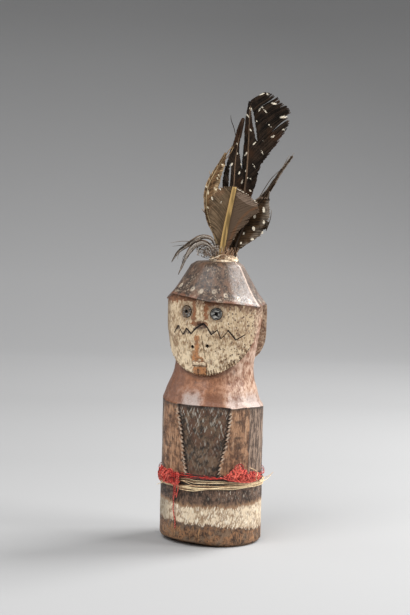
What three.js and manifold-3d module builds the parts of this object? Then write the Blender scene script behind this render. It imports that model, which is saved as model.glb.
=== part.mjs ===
// Oracle figure: one carved billet with a face in front and another behind, a plume of feathers
// on its crown and two bindings round its trunk. Millimetres, +Z up; the front face looks along -Y.
// Angles run round the upright axis in degrees, from 0 at the front towards +X.
import * as THREE from 'three';
import { mergeVertices } from 'three/addons/utils/BufferGeometryUtils.js';
import Module from 'manifold-3d';

const wasm = await Module();
wasm.setup();

// Driving dimensions
const FIGURE_HEIGHT = 200;
const PIECE_GAP = 0.3;
const MESH_TOLERANCE = 0.03;

// Where one surface of the carving steps over another, its ring starts this much higher or lower.
const STEP_GAP = 0.2;

// Rings of the carving start at this angle, on a side panel.
const SEAM_ANGLE = -98;

// The view in which the silhouette was read: left and right radii belong to the two sides of it.
const VIEW_ANGLE = 20;

// Trunk
const TRUNK_RADIUS = 36.4;
const ARM_RADIUS = 36.9;
const TRUNK_LEAN = 0.55;
const PANEL_BOTTOM = 49;
const FRONT_PANEL_DEPTH = 1.9;
const SIDE_PANEL_DEPTH = 0.9;
const BACK_PANEL_DEPTH = 1.3;
const BACK_TURN = 180;
const ARM_OUTER_LEFT = -51;
const ARM_OUTER_RIGHT = 64.5;
const WALL_WIDTH = 1.6;
// Height and angle of the two toothed borders of the front panel.
const PANEL_LEFT = [[49, -10], [57.6, -11.8], [71.5, -15.9], [85.5, -18.7], [99, -24.8]];
const PANEL_RIGHT = [[49, 25.5], [60.5, 28.7], [71.8, 33.4], [83.8, 36.4], [99, 39.3]];
const TOOTH_PITCH = 3;
const TOOTH_SWING = 1.1;
const TEETH_TOP = 96;
// Heights of the plain rings below the panels.
const PLAIN_LEVELS = [14, 29, 42, PANEL_BOTTOM];
// Angle between an arm's edge and the next point on the side panel.
const SIDE_PANEL_MARGIN = 12;

// Foot: the lower edge is worn away in front on the left.
const FOOT_ROUNDING = 2;
const FOOT_EDGE = { up: 0.5, inset: 0.8 };
const WEAR_UNDERCUT = 1.3;
const WEAR_HEIGHT = 6.4;
const WEAR_ANGLE = -15;
const WEAR_REACH_LEFT = 58;
const WEAR_REACH_RIGHT = 42;
const WEAR_POWER = 2.6;

// Shoulders and neck. The ledge is the lower edge of the shoulders: angle and height.
const LEDGE = [[-100, 102], [-60, 101.5], [-20, 100.3], [7, 100.2], [30, 99.6], [41.5, 98.6], [55, 99.3],
  [75, 98.6], [110, 97], [150, 98], [200, 99.5], [230, 101]];
const LEDGE_LEVEL = 100;
// Height over a ledge at 100, and radius on the left and on the right.
const NECK_PROFILE = [[100, 36.8, 35.8], [103.3, 35.5, 33.3], [107.6, 34.1, 31.8], [112, 32.1, 30.8],
  [116.5, 30.1, 29.2], [121, 28.8, 28.2], [125.5, 28.2, 27.6], [131, 28.4, 27.8], [140, 29.3, 29.3],
  [150, 31, 31], [160, 32.4, 32.6], [172, 33, 33.5]];
const NECK_SHARES = [0, 0.06, 0.2, 0.36, 0.55, 0.77, 1];
const SHOULDER_FACETS = 13;
const COLUMNS_PER_FACET = 4;
const SHOULDER_CORNER = 6.8;
const SHOULDER_FLATNESS = 0.8;
const FACETS_END = 121;

// Faces: two plates with a toothed lower outline that stand out over the neck.
const FACE_ANGLE = 4;
const FACE_HALF_WIDTH = 77;
const FACE_CHEEK = 160;
const FACE_CHIN = 121;
const FACE_OUTLINE_POWER = 1.8;
const FACE_RADIUS = 34;
const FACE_WIDEST = 150;
const CHIN_PULL = 2.5;
const LEFT_CHEEK_PULL = 1.9;
const BROW_PULL = 0.5;
const BROW_REACH = 20;
const TEMPLE_FLARE = { front: 0.06, back: 0.015 };
const BACK_FACE_RISE = 2.2;
const FACE_TOOTH = 0.7;
const FACE_COLUMNS = 38;
const FACE_SHARES = [0, 0.03, 0.13, 0.26, 0.4, 0.54, 0.68, 0.82, 1];
const FACE_EDGE = { up: 0.4, inset: 0.5 };

// Cap: a truncated pyramid with flat facets. Angle and height of the corners of its rim.
const CAP_CORNERS = [[-98, 171], [-75, 171.5], [-42, 177], [-14, 175.6], [12, 173], [40, 171.8],
  [77, 168.8], [112, 169.5], [150, 172], [188, 174.5], [225, 174]];
const CAP_FLATNESS = 0.75;
const CAP_RIM_RADIUS = 36;
const CAP_LIP = { height: 1.4, inset: 0.5 };
const CAP_TOP = { height: 197.4, radius: 19.6 };
const CAP_CROWN = { height: 199.3, radius: 16.5 };
// From the rim to the top: share of the height gained, and share of the radius kept.
const CAP_SLOPE = [[0, 1], [0.23, 0.71], [0.41, 0.535], [0.7, 0.27], [1, 0]];

// Front face features: angles and heights on the curve of the face.
const EYES = { left: [-18.3, 165.4], right: [19.8, 164.7] };
const BACK_EYES = [[166, 165], [202, 165]];
const INLAY_RADIUS = 4;
const INLAY_HOLE = 1.25;
const INLAY_THICKNESS = 1.6;
const INLAY_PROUD = 0.3;
const INLAY_SIDES = 16;
const EYE_PIT_DEPTH = 1.2;
const ZIGZAG = [[-39.4, 149.7], [-31.8, 154.8], [-23.1, 149], [-17.5, 153.5], [-11, 150.2], [-4.3, 154.3],
  [4.7, 157.7], [9.2, 155.2], [14.6, 150.2], [21.3, 153.6], [25.9, 147.5], [34.7, 153.2], [44.3, 146.7],
  [56.9, 149.9]];
// The groove is a V: half its width at the surface, and half the width of its floor.
const ZIGZAG_DEPTH = 0.9;
const ZIGZAG_MOUTH = 0.8;
const ZIGZAG_FLOOR = 0.1;
const DRILLED_HOLES = [[-8.6, 141], [10.1, 142.2]];
const DRILLED_RADIUS = 1;
const DRILLED_DEPTH = 3;
const CUTTER_EXCESS = 3;
// Raised features: how far they stand out, and rows of height, left angle and right angle.
const UPPER_NOSE = { proud: 1.3, rows: [[158, -3.4, 4], [166, -4, 4.6], [174.5, -4.6, 5.2]] };
const LOWER_NOSE = { proud: 0.8, rows: [[133, -5.5, 6.7], [141, -5.2, 4.8], [149.5, -4.8, 2.6]] };
const UPPER_LIP = { proud: 1.1, rows: [[126.4, -8, 8.4], [128, -8.4, 8.8], [130.6, -6.6, 7.4]] };
const BACK_NOSE = { proud: 1.2, rows: [[150, 179.5, 188.5], [162, 180, 188], [174, 179.4, 188.6]] };
const BLOCK_ROOT = 2;

// Crown packing, seen from the viewing side: across, and towards the viewer.
const PACKING_PLACE = [4.5, 0];
const PACKING_RADIUS = 10.4;
const CROWN_HOLLOW_FLOOR = 190;
const QUILL_SOCKET_LENGTH = 14;
const PACKING_PROFILE = [[0, 190.3], [10.4, 190.3], [10.4, 199.8], [9.2, 202], [5.6, 203.8], [0, 204.4]];

// Feathers. A shaft runs through points of [across, towards the viewer, height].
// A vane is a list of [share of the shaft, width on the left, width on the right]. Its face is
// hollowed by the cup, in mm at a width of 20, and the shaft thins out towards the tip.
const VANE_EDGE = 0.25;
const CUP_WIDTH = 20;
const QUILL_TAPER = 0.55;
const QUILL_FLATNESS = 0.86;
const FEATHERS = {
  feather_tall: {
    quill: 1.5,
    color: 0x2b211d,
    turn: -8,
    cup: -2.5,
    shaft: [[10.2, -4.8, 200], [12.8, -5.6, 212], [15.4, -6.5, 228], [17.6, -7.5, 244], [19.1, -8.3, 259],
      [20, -9.4, 276], [20.3, -10.8, 291], [20.5, -12.1, 303], [21.2, -13.2, 312], [22.8, -14.5, 321.3]],
    vane: [[0.12, 1.4, 1.5], [0.2, 2, 3.4], [0.3, 2.8, 4.2], [0.4, 3.4, 5.9], [0.5, 3.7, 7.8],
      [0.6, 3.6, 10.8], [0.65, 3.5, 15.6], [0.7, 3.4, 20.4], [0.75, 3.4, 24.3], [0.8, 3, 27.2],
      [0.84, 2.8, 28.4], [0.88, 2.2, 28.1], [0.92, 1.6, 26.4], [0.95, 1.2, 23.4], [0.98, 1, 18.6],
      [1, 0.8, 11.6]],
    slits: [{ from: [22, 307], to: [25.9, 286], width: 2.8 }],
  },
  feather_tall_left: {
    quill: 1.1,
    color: 0x30251f,
    turn: 14,
    cup: -1.5,
    shaft: [[5.6, -5, 200], [8, -5, 222], [9.6, -4.6, 240], [10.4, -4.5, 255], [11, -5, 271],
      [13, -5.5, 286], [15.8, -6, 301]],
    vane: [[0.22, 1.2, 1.2], [0.34, 4.5, 5.2], [0.45, 7.2, 6], [0.57, 8.2, 5.8], [0.66, 6.4, 4.6],
      [0.72, 5.2, 2.2], [0.8, 3.8, 1.3], [0.88, 2.8, 1.1], [0.95, 2, 1], [1, 0.9, 0.9]],
    slits: [{ from: [7.6, 269], to: [6.8, 253], width: 2 }],
  },
  feather_cut: {
    quill: 1.65,
    color: 0x8a7553,
    turn: 6,
    cup: 2.2,
    shaft: [[1.6, 5.5, 200], [3.6, 5.6, 212.8], [6, 6.2, 227.7], [8.5, 7, 241.2], [10.7, 8, 252.6]],
    vane: [[0.12, 1.6, 1.6], [0.25, 4.4, 3.4], [0.42, 10.5, 8], [0.56, 13.4, 13], [0.66, 15, 17.6],
      [0.76, 16, 20.4], [0.87, 14.8, 17.5], [0.95, 9, 8.5], [1, 1.8, 1.8]],
    slits: [],
  },
  feather_left: {
    quill: 0.9,
    color: 0x8c6236,
    turn: 18,
    cup: 1.2,
    shaft: [[0, 0.6, 200.5], [-2.1, 0.6, 218], [-5.7, 0.7, 226.6], [-8.5, 1.1, 236], [-9.1, 1.3, 244],
      [-7.4, 1.2, 254], [-3.6, 1, 262], [0.4, 0.7, 269], [4, 0.4, 276]],
    vane: [[0.15, 1, 1], [0.28, 1.6, 4.4], [0.45, 2, 7.4], [0.6, 2, 8.4], [0.75, 1.8, 7], [0.9, 1.2, 3.6],
      [1, 0.6, 0.6]],
    slits: [],
  },
  feather_right: {
    quill: 1.2,
    color: 0x2e2520,
    turn: -16,
    cup: 1.6,
    shaft: [[10.8, 1.2, 200], [12.6, 1, 210], [15.6, 0.6, 219], [20.4, 0.4, 229], [25.4, 0.6, 237],
      [31, 1.5, 244.5], [36.6, 3, 254], [43.4, 5, 264.5], [50.6, 6.5, 275]],
    vane: [[0.1, 1.2, 2.6], [0.2, 4.2, 9], [0.3, 5.4, 13.8], [0.4, 5.2, 15.4], [0.5, 4.4, 12.4],
      [0.58, 2.6, 5.2], [0.66, 1.3, 1.7], [0.85, 1.1, 1.3], [1, 0.5, 0.5]],
    slits: [],
  },
  feather_down: {
    quill: 0.9,
    color: 0x8f8478,
    turn: 30,
    cup: 1.5,
    shaft: [[-1.6, 3.4, 201], [-3.6, 4.6, 210.4], [-9, 6.4, 214.6], [-16, 8, 213.4], [-23, 9, 208.6],
      [-29.6, 9.6, 198]],
    vane: [[0.12, 1.2, 1.2], [0.3, 3.6, 2.2], [0.5, 6, 2.4], [0.7, 5.6, 2.2], [0.88, 3.2, 1.6],
      [1, 0.6, 0.6]],
    slits: [],
  },
};

// Bindings
const FIBRE_BAND = { height: 44, half: 3.2, thickness: 1.6 };
const RED_BAND = { height: 50.3, half: 1.4, thickness: 1.5 };
const BAND_STEPS = 34;
// Half a section of a band: share of the thickness, share of the half height.
const BAND_SECTION = [[0, -1], [0.8, -0.85], [1, 0], [0.8, 0.85], [0, 1]];
// Tufts: the radii between which the yarn is bunched, and rows of angle, lowest and highest place.
const TUFTS = {
  red_tuft_left: {
    radii: [39.6, 43.2],
    outline: [[-54, 45.8, 50.4], [-50, 43.8, 53], [-43, 43, 55.7], [-33, 43.2, 54], [-26, 43.6, 55],
      [-20, 42.4, 52.6], [-16, 42.8, 51.9], [-13.5, 44.5, 51.2]],
  },
  red_tuft_right: {
    radii: [39.6, 43.6],
    outline: [[27.5, 50, 52], [32, 49.4, 53.2], [36.5, 48.4, 54.2], [41, 47.4, 58], [46.5, 47, 60.9],
      [53, 46.6, 57.4], [58, 46.2, 54.8], [67, 46.3, 54.3], [74, 46.6, 52.6], [81, 48, 50.2]],
  },
};
const TUFT_EDGE = 0.8;
const TUFT_ROWS = 6;
const THREAD_RADIUS = 0.45;
const THREAD_SIDES = 8;
const THREAD_STEPS = 14;
// Angle, radius and height along the hanging thread.
const THREAD_ROUTE = [[-20.8, 39.5, 41.9], [-21.9, 39, 38], [-24.4, 38.2, 33], [-25.2, 37.9, 29.3],
  [-25.9, 37.8, 25.8], [-24.3, 37.8, 20.7], [-22.7, 37.8, 17.2], [-22.5, 37.8, 11.8]];

const radians = THREE.MathUtils.degToRad;

// A point at an angle, radius and height.
function onRadius(angle, radius, height) {
  return new THREE.Vector3(radius * Math.sin(radians(angle)), -radius * Math.cos(radians(angle)), height);
}

// A point read in the view: across to the right, towards the viewer, and height.
function inView([across, near, height]) {
  const turn = radians(VIEW_ANGLE);
  return new THREE.Vector3(
    across * Math.cos(turn) + near * Math.sin(turn),
    across * Math.sin(turn) - near * Math.cos(turn),
    height,
  );
}

// Straight-line reading of a table of [place, value, ...] rows.
function reading(table, place, column = 1) {
  if (place <= table[0][0]) return table[0][column];
  for (let row = 1; row < table.length; row += 1) {
    const [start, end] = [table[row - 1], table[row]];
    if (place <= end[0]) {
      return THREE.MathUtils.mapLinear(place, start[0], end[0], start[column], end[column]);
    }
  }
  return table.at(-1)[column];
}

// The same for a table of angles, which goes round and meets itself.
function readingAround(table, angle) {
  const first = table[0];
  const turned = first[0] + THREE.MathUtils.euclideanModulo(angle - first[0], 360);
  return reading([...table, [first[0] + 360, first[1]]], turned);
}

// How far the flat facets between corner angles fall inside the round: 1 at a corner, less between.
function facetShare(corners, angle, flatness) {
  const turned = corners[0] + THREE.MathUtils.euclideanModulo(angle - corners[0], 360);
  const all = [...corners, corners[0] + 360];
  const next = all.findIndex((corner) => corner > turned);
  const [start, end] = [all[next - 1], all[next]];
  const chord = Math.cos(radians((end - start) / 2)) / Math.cos(radians(turned - (start + end) / 2));
  return 1 - flatness * (1 - chord);
}

function evenly(from, to, count) {
  return Array.from({ length: count }, (_, step) => from + ((to - from) * step) / (count - 1));
}

// Closed bodies from points and triangles
function bodyOf(points, triangles) {
  const geometry = new THREE.BufferGeometry();
  const numbers = points.flatMap((p) => p.toArray());
  geometry.setAttribute('position', new THREE.Float32BufferAttribute(numbers, 3));
  geometry.setIndex(triangles.flat());
  return geometry;
}

function solidOf(geometry) {
  const bare = geometry.clone();
  bare.deleteAttribute('normal');
  bare.deleteAttribute('uv');
  const merged = mergeVertices(bare, 1e-4);
  return new wasm.Manifold(new wasm.Mesh({
    numProp: 3,
    vertProperties: merged.attributes.position.array,
    triVerts: Uint32Array.from(merged.index.array),
  }));
}

function geometryOf(solid) {
  const mesh = solid.simplify(MESH_TOLERANCE).getMesh();
  const geometry = new THREE.BufferGeometry();
  geometry.setAttribute('position', new THREE.BufferAttribute(mesh.vertProperties, 3));
  geometry.setIndex(new THREE.BufferAttribute(mesh.triVerts, 1));
  return geometry;
}

// A stack of rings, from the lowest up, closed by a point below and one above. A ring holds
// { angle, radius, height }, told from the seam on. Rings of equal count join point to point, so
// that an edge can lean; others are laced together by angle.
function stackOf(told, bottom, top) {
  const pastSeam = (angle) => SEAM_ANGLE + THREE.MathUtils.euclideanModulo(angle - SEAM_ANGLE, 360);
  const rings = told.map((ring) => ring.map((p) => ({ ...p, angle: pastSeam(p.angle) }))
    .sort((one, other) => one.angle - other.angle));
  const points = rings.flat().map((p) => onRadius(p.angle, p.radius, p.height));
  const triangles = [];
  let start = 0;
  for (let level = 0; level + 1 < rings.length; level += 1) {
    const [lower, upper] = [rings[level], rings[level + 1]];
    const first = start + lower.length;
    const low = (i) => start + (i % lower.length);
    const high = (j) => first + (j % upper.length);
    const angleOf = (ring, i) => ring[i % ring.length].angle + 360 * Math.floor(i / ring.length);
    for (let i = 0, j = 0; i < lower.length || j < upper.length;) {
      const paired = lower.length === upper.length;
      const lowerNext = paired ? i <= j : angleOf(lower, i + 1) <= angleOf(upper, j + 1);
      if (j === upper.length || (i < lower.length && lowerNext)) {
        triangles.push([low(i), low(i + 1), high(j)]);
        i += 1;
      } else {
        triangles.push([low(i), high(j + 1), high(j)]);
        j += 1;
      }
    }
    start = first;
  }
  const below = points.push(new THREE.Vector3(0, 0, bottom)) - 1;
  const above = points.push(new THREE.Vector3(0, 0, top)) - 1;
  rings[0].forEach((_, i) => triangles.push([below, (i + 1) % rings[0].length, i]));
  const last = rings.at(-1);
  last.forEach((_, i) => triangles.push([above, start + i, start + ((i + 1) % last.length)]));
  return bodyOf(points, triangles);
}

// A slab between two grids of points, front and back, of the same rows and columns.
function slabOf(front, back) {
  const rows = front.length;
  const columns = front[0].length;
  const points = [...front.flat(), ...back.flat()];
  const at = (side, row, column) => side * rows * columns + row * columns + column;
  const triangles = [];
  const quad = (a, b, c, d) => triangles.push([a, b, c], [a, c, d]);
  for (let row = 0; row + 1 < rows; row += 1) {
    for (let column = 0; column + 1 < columns; column += 1) {
      quad(at(0, row, column), at(0, row, column + 1), at(0, row + 1, column + 1), at(0, row + 1, column));
      quad(at(1, row, column), at(1, row + 1, column), at(1, row + 1, column + 1), at(1, row, column + 1));
    }
    quad(at(0, row, 0), at(0, row + 1, 0), at(1, row + 1, 0), at(1, row, 0));
    const end = columns - 1;
    quad(at(0, row, end), at(1, row, end), at(1, row + 1, end), at(0, row + 1, end));
  }
  for (let column = 0; column + 1 < columns; column += 1) {
    quad(at(0, 0, column), at(1, 0, column), at(1, 0, column + 1), at(0, 0, column + 1));
    const end = rows - 1;
    quad(at(0, end, column), at(0, end, column + 1), at(1, end, column + 1), at(1, end, column));
  }
  return bodyOf(points, triangles);
}

// A round peg whose axis runs from one point to another.
function pegBetween(from, to, radius, sides) {
  const along = to.clone().sub(from);
  const peg = new THREE.CylinderGeometry(radius, radius, along.length(), sides);
  const upright = new THREE.Vector3(0, 1, 0);
  const turn = new THREE.Quaternion().setFromUnitVectors(upright, along.clone().normalize());
  const middle = from.clone().add(to).multiplyScalar(0.5);
  return peg.applyMatrix4(new THREE.Matrix4().compose(middle, turn, new THREE.Vector3(1, 1, 1)));
}

// Surfaces of the carving

// The trunk leans a little to the left of the view.
function lean(angle) {
  return -TRUNK_LEAN * Math.sin(radians(angle - VIEW_ANGLE));
}

function wornHeight(angle) {
  const away = THREE.MathUtils.euclideanModulo(angle - WEAR_ANGLE + 180, 360) - 180;
  const reach = away < 0 ? WEAR_REACH_LEFT : WEAR_REACH_RIGHT;
  return WEAR_HEIGHT * Math.exp(-(Math.abs(away / reach) ** WEAR_POWER));
}

function shoulderRadius(angle, height) {
  const place = height + LEDGE_LEVEL - readingAround(LEDGE, angle);
  const left = reading(NECK_PROFILE, place, 1);
  const right = reading(NECK_PROFILE, place, 2);
  const round = (left + right) / 2 + ((right - left) / 2) * Math.sin(radians(angle - VIEW_ANGLE));
  const corners = evenly(SHOULDER_CORNER, SHOULDER_CORNER + 360, SHOULDER_FACETS + 1).slice(0, -1);
  const fade = THREE.MathUtils.clamp((FACETS_END - place) / (FACETS_END - LEDGE_LEVEL), 0, 1);
  return round * facetShare(corners, angle, SHOULDER_FLATNESS * Math.sqrt(fade));
}

// Angle from the middle of the nearer face, and whether that is the back one.
function onFace(angle) {
  const away = THREE.MathUtils.euclideanModulo(angle - FACE_ANGLE + 90, 360) - 90;
  const back = away > 90;
  return { away: back ? away - 180 : away, back };
}

// Lower outline of the faces: a rounded jaw below the cheeks, level in the strips between the faces.
function jawHeight(angle) {
  const share = Math.min(1, Math.abs(onFace(angle).away) / FACE_HALF_WIDTH);
  const drop = (1 - share ** FACE_OUTLINE_POWER) ** (1 / FACE_OUTLINE_POWER);
  return FACE_CHEEK - (FACE_CHEEK - FACE_CHIN) * drop;
}

function faceRadius(angle, height) {
  const { away, back } = onFace(angle);
  if (Math.abs(away) > FACE_HALF_WIDTH + 0.5) return shoulderRadius(angle, height);
  const rise = back ? BACK_FACE_RISE : 0;
  if (height < FACE_WIDEST) {
    const share = (FACE_WIDEST - height) / (FACE_WIDEST - FACE_CHIN);
    const cheek = back ? 0 : LEFT_CHEEK_PULL * Math.min(0, away / FACE_HALF_WIDTH) ** 2;
    return FACE_RADIUS + rise - CHIN_PULL * share ** 2 - cheek * Math.sqrt(share);
  }
  const above = height - FACE_WIDEST;
  const flare = TEMPLE_FLARE[back ? 'back' : 'front'] * above * (away / FACE_HALF_WIDTH) ** 2;
  return FACE_RADIUS + rise + flare - BROW_PULL * (above / BROW_REACH) ** 2;
}

function rimHeight(angle) {
  return readingAround(CAP_CORNERS, angle);
}

function capRadius(angle, radius) {
  return radius * facetShare(CAP_CORNERS.map(([corner]) => corner), angle, CAP_FLATNESS);
}

// Rings of the carving

// Columns of the trunk at a height: side panel, arm, toothed front panel, arm, and the same behind.
function trunkColumns(height) {
  const carved = height > PANEL_BOTTOM;
  const tooth = TOOTH_SWING * (Math.round((2 * height) / TOOTH_PITCH) % 2 ? 1 : -1);
  const wall = WALL_WIDTH / 2;
  return [0, BACK_TURN].flatMap((turn) => {
    const swing = carved && turn === 0 ? tooth : 0;
    const left = reading(PANEL_LEFT, height) + swing;
    const right = reading(PANEL_RIGHT, height) - swing;
    const side = carved ? SIDE_PANEL_DEPTH : 0;
    const panel = carved ? (turn === 0 ? FRONT_PANEL_DEPTH : BACK_PANEL_DEPTH) : 0;
    const stretch = (from, to, count, depth) => evenly(from, to, count).map((angle) => [angle, depth]);
    return [
      ...stretch(ARM_OUTER_RIGHT - 180 + wall + SIDE_PANEL_MARGIN, ARM_OUTER_LEFT - wall, 4, side),
      ...stretch(ARM_OUTER_LEFT + wall, left - wall, 3, 0),
      ...stretch(left + wall, right - wall, 6, panel),
      ...stretch(right + wall, ARM_OUTER_RIGHT - wall, 3, 0),
      [ARM_OUTER_RIGHT + wall, side],
    ].map(([angle, depth]) => ({ angle: angle + turn, depth }));
  });
}

function trunkRing(heightAt, inset = 0) {
  return (height) => trunkColumns(height).map(({ angle, depth }) => {
    const outer = height > PANEL_BOTTOM ? ARM_RADIUS : TRUNK_RADIUS;
    return { angle, radius: outer - depth - inset + lean(angle), height: heightAt(angle, height) };
  });
}

function footRings() {
  const worn = (extra) => (angle) => wornHeight(angle) + extra;
  const sole = trunkRing(() => 0, FOOT_ROUNDING)(0)
    .map((p) => ({ ...p, radius: p.radius - WEAR_UNDERCUT * wornHeight(p.angle) }));
  return [sole, trunkRing(worn(FOOT_EDGE.up), FOOT_EDGE.inset)(0), trunkRing(worn(FOOT_ROUNDING))(0)];
}

function trunkRings() {
  const level = trunkRing((_, height) => height);
  const halfPitch = TOOTH_PITCH / 2;
  const carved = [PANEL_BOTTOM + PIECE_GAP];
  const lowest = Math.ceil((PANEL_BOTTOM + 1) / halfPitch) * halfPitch;
  for (let height = lowest; height < TEETH_TOP; height += halfPitch) carved.push(height);
  const underLedge = trunkRing((angle) => readingAround(LEDGE, angle) - STEP_GAP);
  return [...PLAIN_LEVELS.map(level), ...carved.map(level), underLedge(TEETH_TOP)];
}

// Rings of one set of angles between two outlines.
function ringsBetween(angles, lower, upper, shares, radiusAt) {
  return shares.map((share) => angles.map((angle) => {
    const height = THREE.MathUtils.lerp(lower(angle), upper(angle), share);
    return { angle, radius: radiusAt(angle, height), height };
  }));
}

function neckRings() {
  const columns = COLUMNS_PER_FACET * SHOULDER_FACETS;
  const angles = evenly(SHOULDER_CORNER, SHOULDER_CORNER + 360, columns + 1).slice(0, -1);
  const ledge = (angle) => readingAround(LEDGE, angle);
  const underJaw = (angle) => jawHeight(angle) - STEP_GAP;
  return ringsBetween(angles, ledge, underJaw, NECK_SHARES, shoulderRadius);
}

function faceRings() {
  const step = (2 * FACE_HALF_WIDTH) / FACE_COLUMNS;
  const start = FACE_ANGLE - FACE_HALF_WIDTH;
  const strip = 180 - 2 * FACE_HALF_WIDTH;
  const angles = [0, 180].flatMap((turn) => [
    ...evenly(start, start + 2 * FACE_HALF_WIDTH, FACE_COLUMNS + 1),
    ...[2, strip / 2, strip - 2].map((extra) => start + 2 * FACE_HALF_WIDTH + extra),
  ].map((angle) => angle + turn));
  const toothed = (angle) => {
    const { away } = onFace(angle);
    const column = Math.round((away + FACE_HALF_WIDTH) / step);
    const swing = Math.abs(away) < FACE_HALF_WIDTH - 2 ? FACE_TOOTH : 0;
    return jawHeight(angle) + (column % 2 ? swing : -swing) + FACE_EDGE.up;
  };
  const underRim = (angle) => rimHeight(angle) - STEP_GAP;
  const [edge, ...rest] = ringsBetween(angles, toothed, underRim, FACE_SHARES, faceRadius);
  const onPlate = (angle) => Math.abs(onFace(angle).away) <= FACE_HALF_WIDTH;
  const turnedIn = edge.map((p) => (onPlate(p.angle) ? { ...p, radius: p.radius - FACE_EDGE.inset } : p));
  return [turnedIn, ...rest];
}

function capRings() {
  const corners = CAP_CORNERS.map(([angle]) => angle);
  const angles = corners.flatMap((angle, i) => {
    const next = i + 1 < corners.length ? corners[i + 1] : corners[0] + 360;
    return [angle, (angle + next) / 2];
  });
  const ring = (heightAt, radius) => angles.map((angle) => ({
    angle,
    radius: capRadius(angle, radius),
    height: heightAt(angle),
  }));
  const slope = CAP_SLOPE.map(([gained, kept]) => ring(
    (angle) => THREE.MathUtils.lerp(rimHeight(angle) + CAP_LIP.height, CAP_TOP.height, gained),
    THREE.MathUtils.lerp(CAP_TOP.radius, CAP_RIM_RADIUS - CAP_LIP.inset, kept),
  ));
  return [ring(rimHeight, CAP_RIM_RADIUS), ...slope, ring(() => CAP_CROWN.height, CAP_CROWN.radius)];
}

// Details joined to the carving and cut out of it

// A raised block that follows the face.
function raisedBlock({ proud, rows }) {
  const columns = 3;
  const grid = (offset) => rows.map(([height, left, right]) => evenly(left, right, columns)
    .map((angle) => onRadius(angle, faceRadius(angle, height) + offset, height)));
  return solidOf(slabOf(grid(proud), grid(-BLOCK_ROOT)));
}

// A V-shaped groove along the zigzag, mitred at its corners.
function zigzagGroove() {
  const perDegree = radians(1) * FACE_RADIUS;
  const flat = ZIGZAG.map(([angle, height]) => new THREE.Vector2(angle * perDegree, height));
  const sections = flat.map((place, i) => {
    const before = (i ? place.clone().sub(flat[i - 1]) : flat[1].clone().sub(place)).normalize();
    const after = (i + 1 < flat.length ? flat[i + 1].clone().sub(place) : before.clone()).normalize();
    const mitre = before.clone().add(after).normalize();
    const across = new THREE.Vector2(-mitre.y, mitre.x).divideScalar(Math.max(0.5, mitre.dot(before)));
    const onSkin = (offset, depth) => {
      const [angle, height] = [(place.x + across.x * offset) / perDegree, place.y + across.y * offset];
      return onRadius(angle, faceRadius(angle, height) - depth, height);
    };
    return [
      [onSkin(ZIGZAG_MOUTH, -ZIGZAG_MOUTH), onSkin(-ZIGZAG_MOUTH, -ZIGZAG_MOUTH)],
      [onSkin(ZIGZAG_FLOOR, ZIGZAG_DEPTH), onSkin(-ZIGZAG_FLOOR, ZIGZAG_DEPTH)],
    ];
  });
  return solidOf(slabOf(sections.map(([outer]) => outer), sections.map(([, inner]) => inner)));
}

// A round pit drilled square into the face.
function drilledPit([angle, height], radius, depth, sides) {
  const skin = faceRadius(angle, height);
  const floor = onRadius(angle, skin - depth, height);
  return solidOf(pegBetween(floor, onRadius(angle, skin + CUTTER_EXCESS, height), radius, sides));
}

function crownHollow() {
  const [across, near] = PACKING_PLACE;
  const radius = PACKING_RADIUS + PIECE_GAP;
  const floor = inView([across, near, CROWN_HOLLOW_FLOOR]);
  return solidOf(pegBetween(floor, inView([across, near, FIGURE_HEIGHT + CUTTER_EXCESS]), radius, 24));
}

function carvedFigure() {
  const rings = [...footRings(), ...trunkRings(), ...neckRings(), ...faceRings(), ...capRings()];
  const billet = solidOf(stackOf(rings, 0, FIGURE_HEIGHT));
  const raised = [UPPER_NOSE, LOWER_NOSE, UPPER_LIP, BACK_NOSE].map(raisedBlock);
  const socketDepth = INLAY_THICKNESS - INLAY_PROUD + PIECE_GAP;
  const cuts = [
    ...Object.values(EYES)
      .map((place) => drilledPit(place, INLAY_RADIUS + PIECE_GAP, socketDepth, INLAY_SIDES)),
    ...BACK_EYES.map((place) => drilledPit(place, INLAY_RADIUS, EYE_PIT_DEPTH, 12)),
    ...DRILLED_HOLES.map((place) => drilledPit(place, DRILLED_RADIUS, DRILLED_DEPTH, 8)),
    zigzagGroove(),
    crownHollow(),
  ];
  const carved = cuts.reduce((body, cut) => body.subtract(cut), wasm.Manifold.union([billet, ...raised]));
  return geometryOf(carved);
}

// A washer-shaped inlay in its eye socket.
function eyeInlay([angle, height]) {
  const half = INLAY_THICKNESS / 2;
  const corners = [[INLAY_HOLE, -half], [INLAY_RADIUS, -half], [INLAY_RADIUS, half], [INLAY_HOLE, half],
    [INLAY_HOLE, -half]];
  const washer = new THREE.LatheGeometry(corners.map(([r, y]) => new THREE.Vector2(r, y)), INLAY_SIDES);
  const middle = faceRadius(angle, height) + INLAY_PROUD - half;
  const outward = onRadius(angle, 1, 0);
  const turn = new THREE.Quaternion().setFromUnitVectors(new THREE.Vector3(0, 1, 0), outward);
  return washer.applyMatrix4(
    new THREE.Matrix4().compose(onRadius(angle, middle, height), turn, new THREE.Vector3(1, 1, 1)),
  );
}

// Feathers

// Centre, side and face directions along a shaft.
function shaftFrames({ shaft, turn }, shares) {
  const curve = new THREE.CatmullRomCurve3(shaft.map(inView), false, 'centripetal');
  const viewer = inView([0, 1, 0]);
  return shares.map((share) => {
    const tangent = curve.getTangentAt(share);
    const side = tangent.clone().cross(viewer).normalize().applyAxisAngle(tangent, radians(turn));
    return { centre: curve.getPointAt(share), side, face: side.clone().cross(tangent).normalize() };
  });
}

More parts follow.
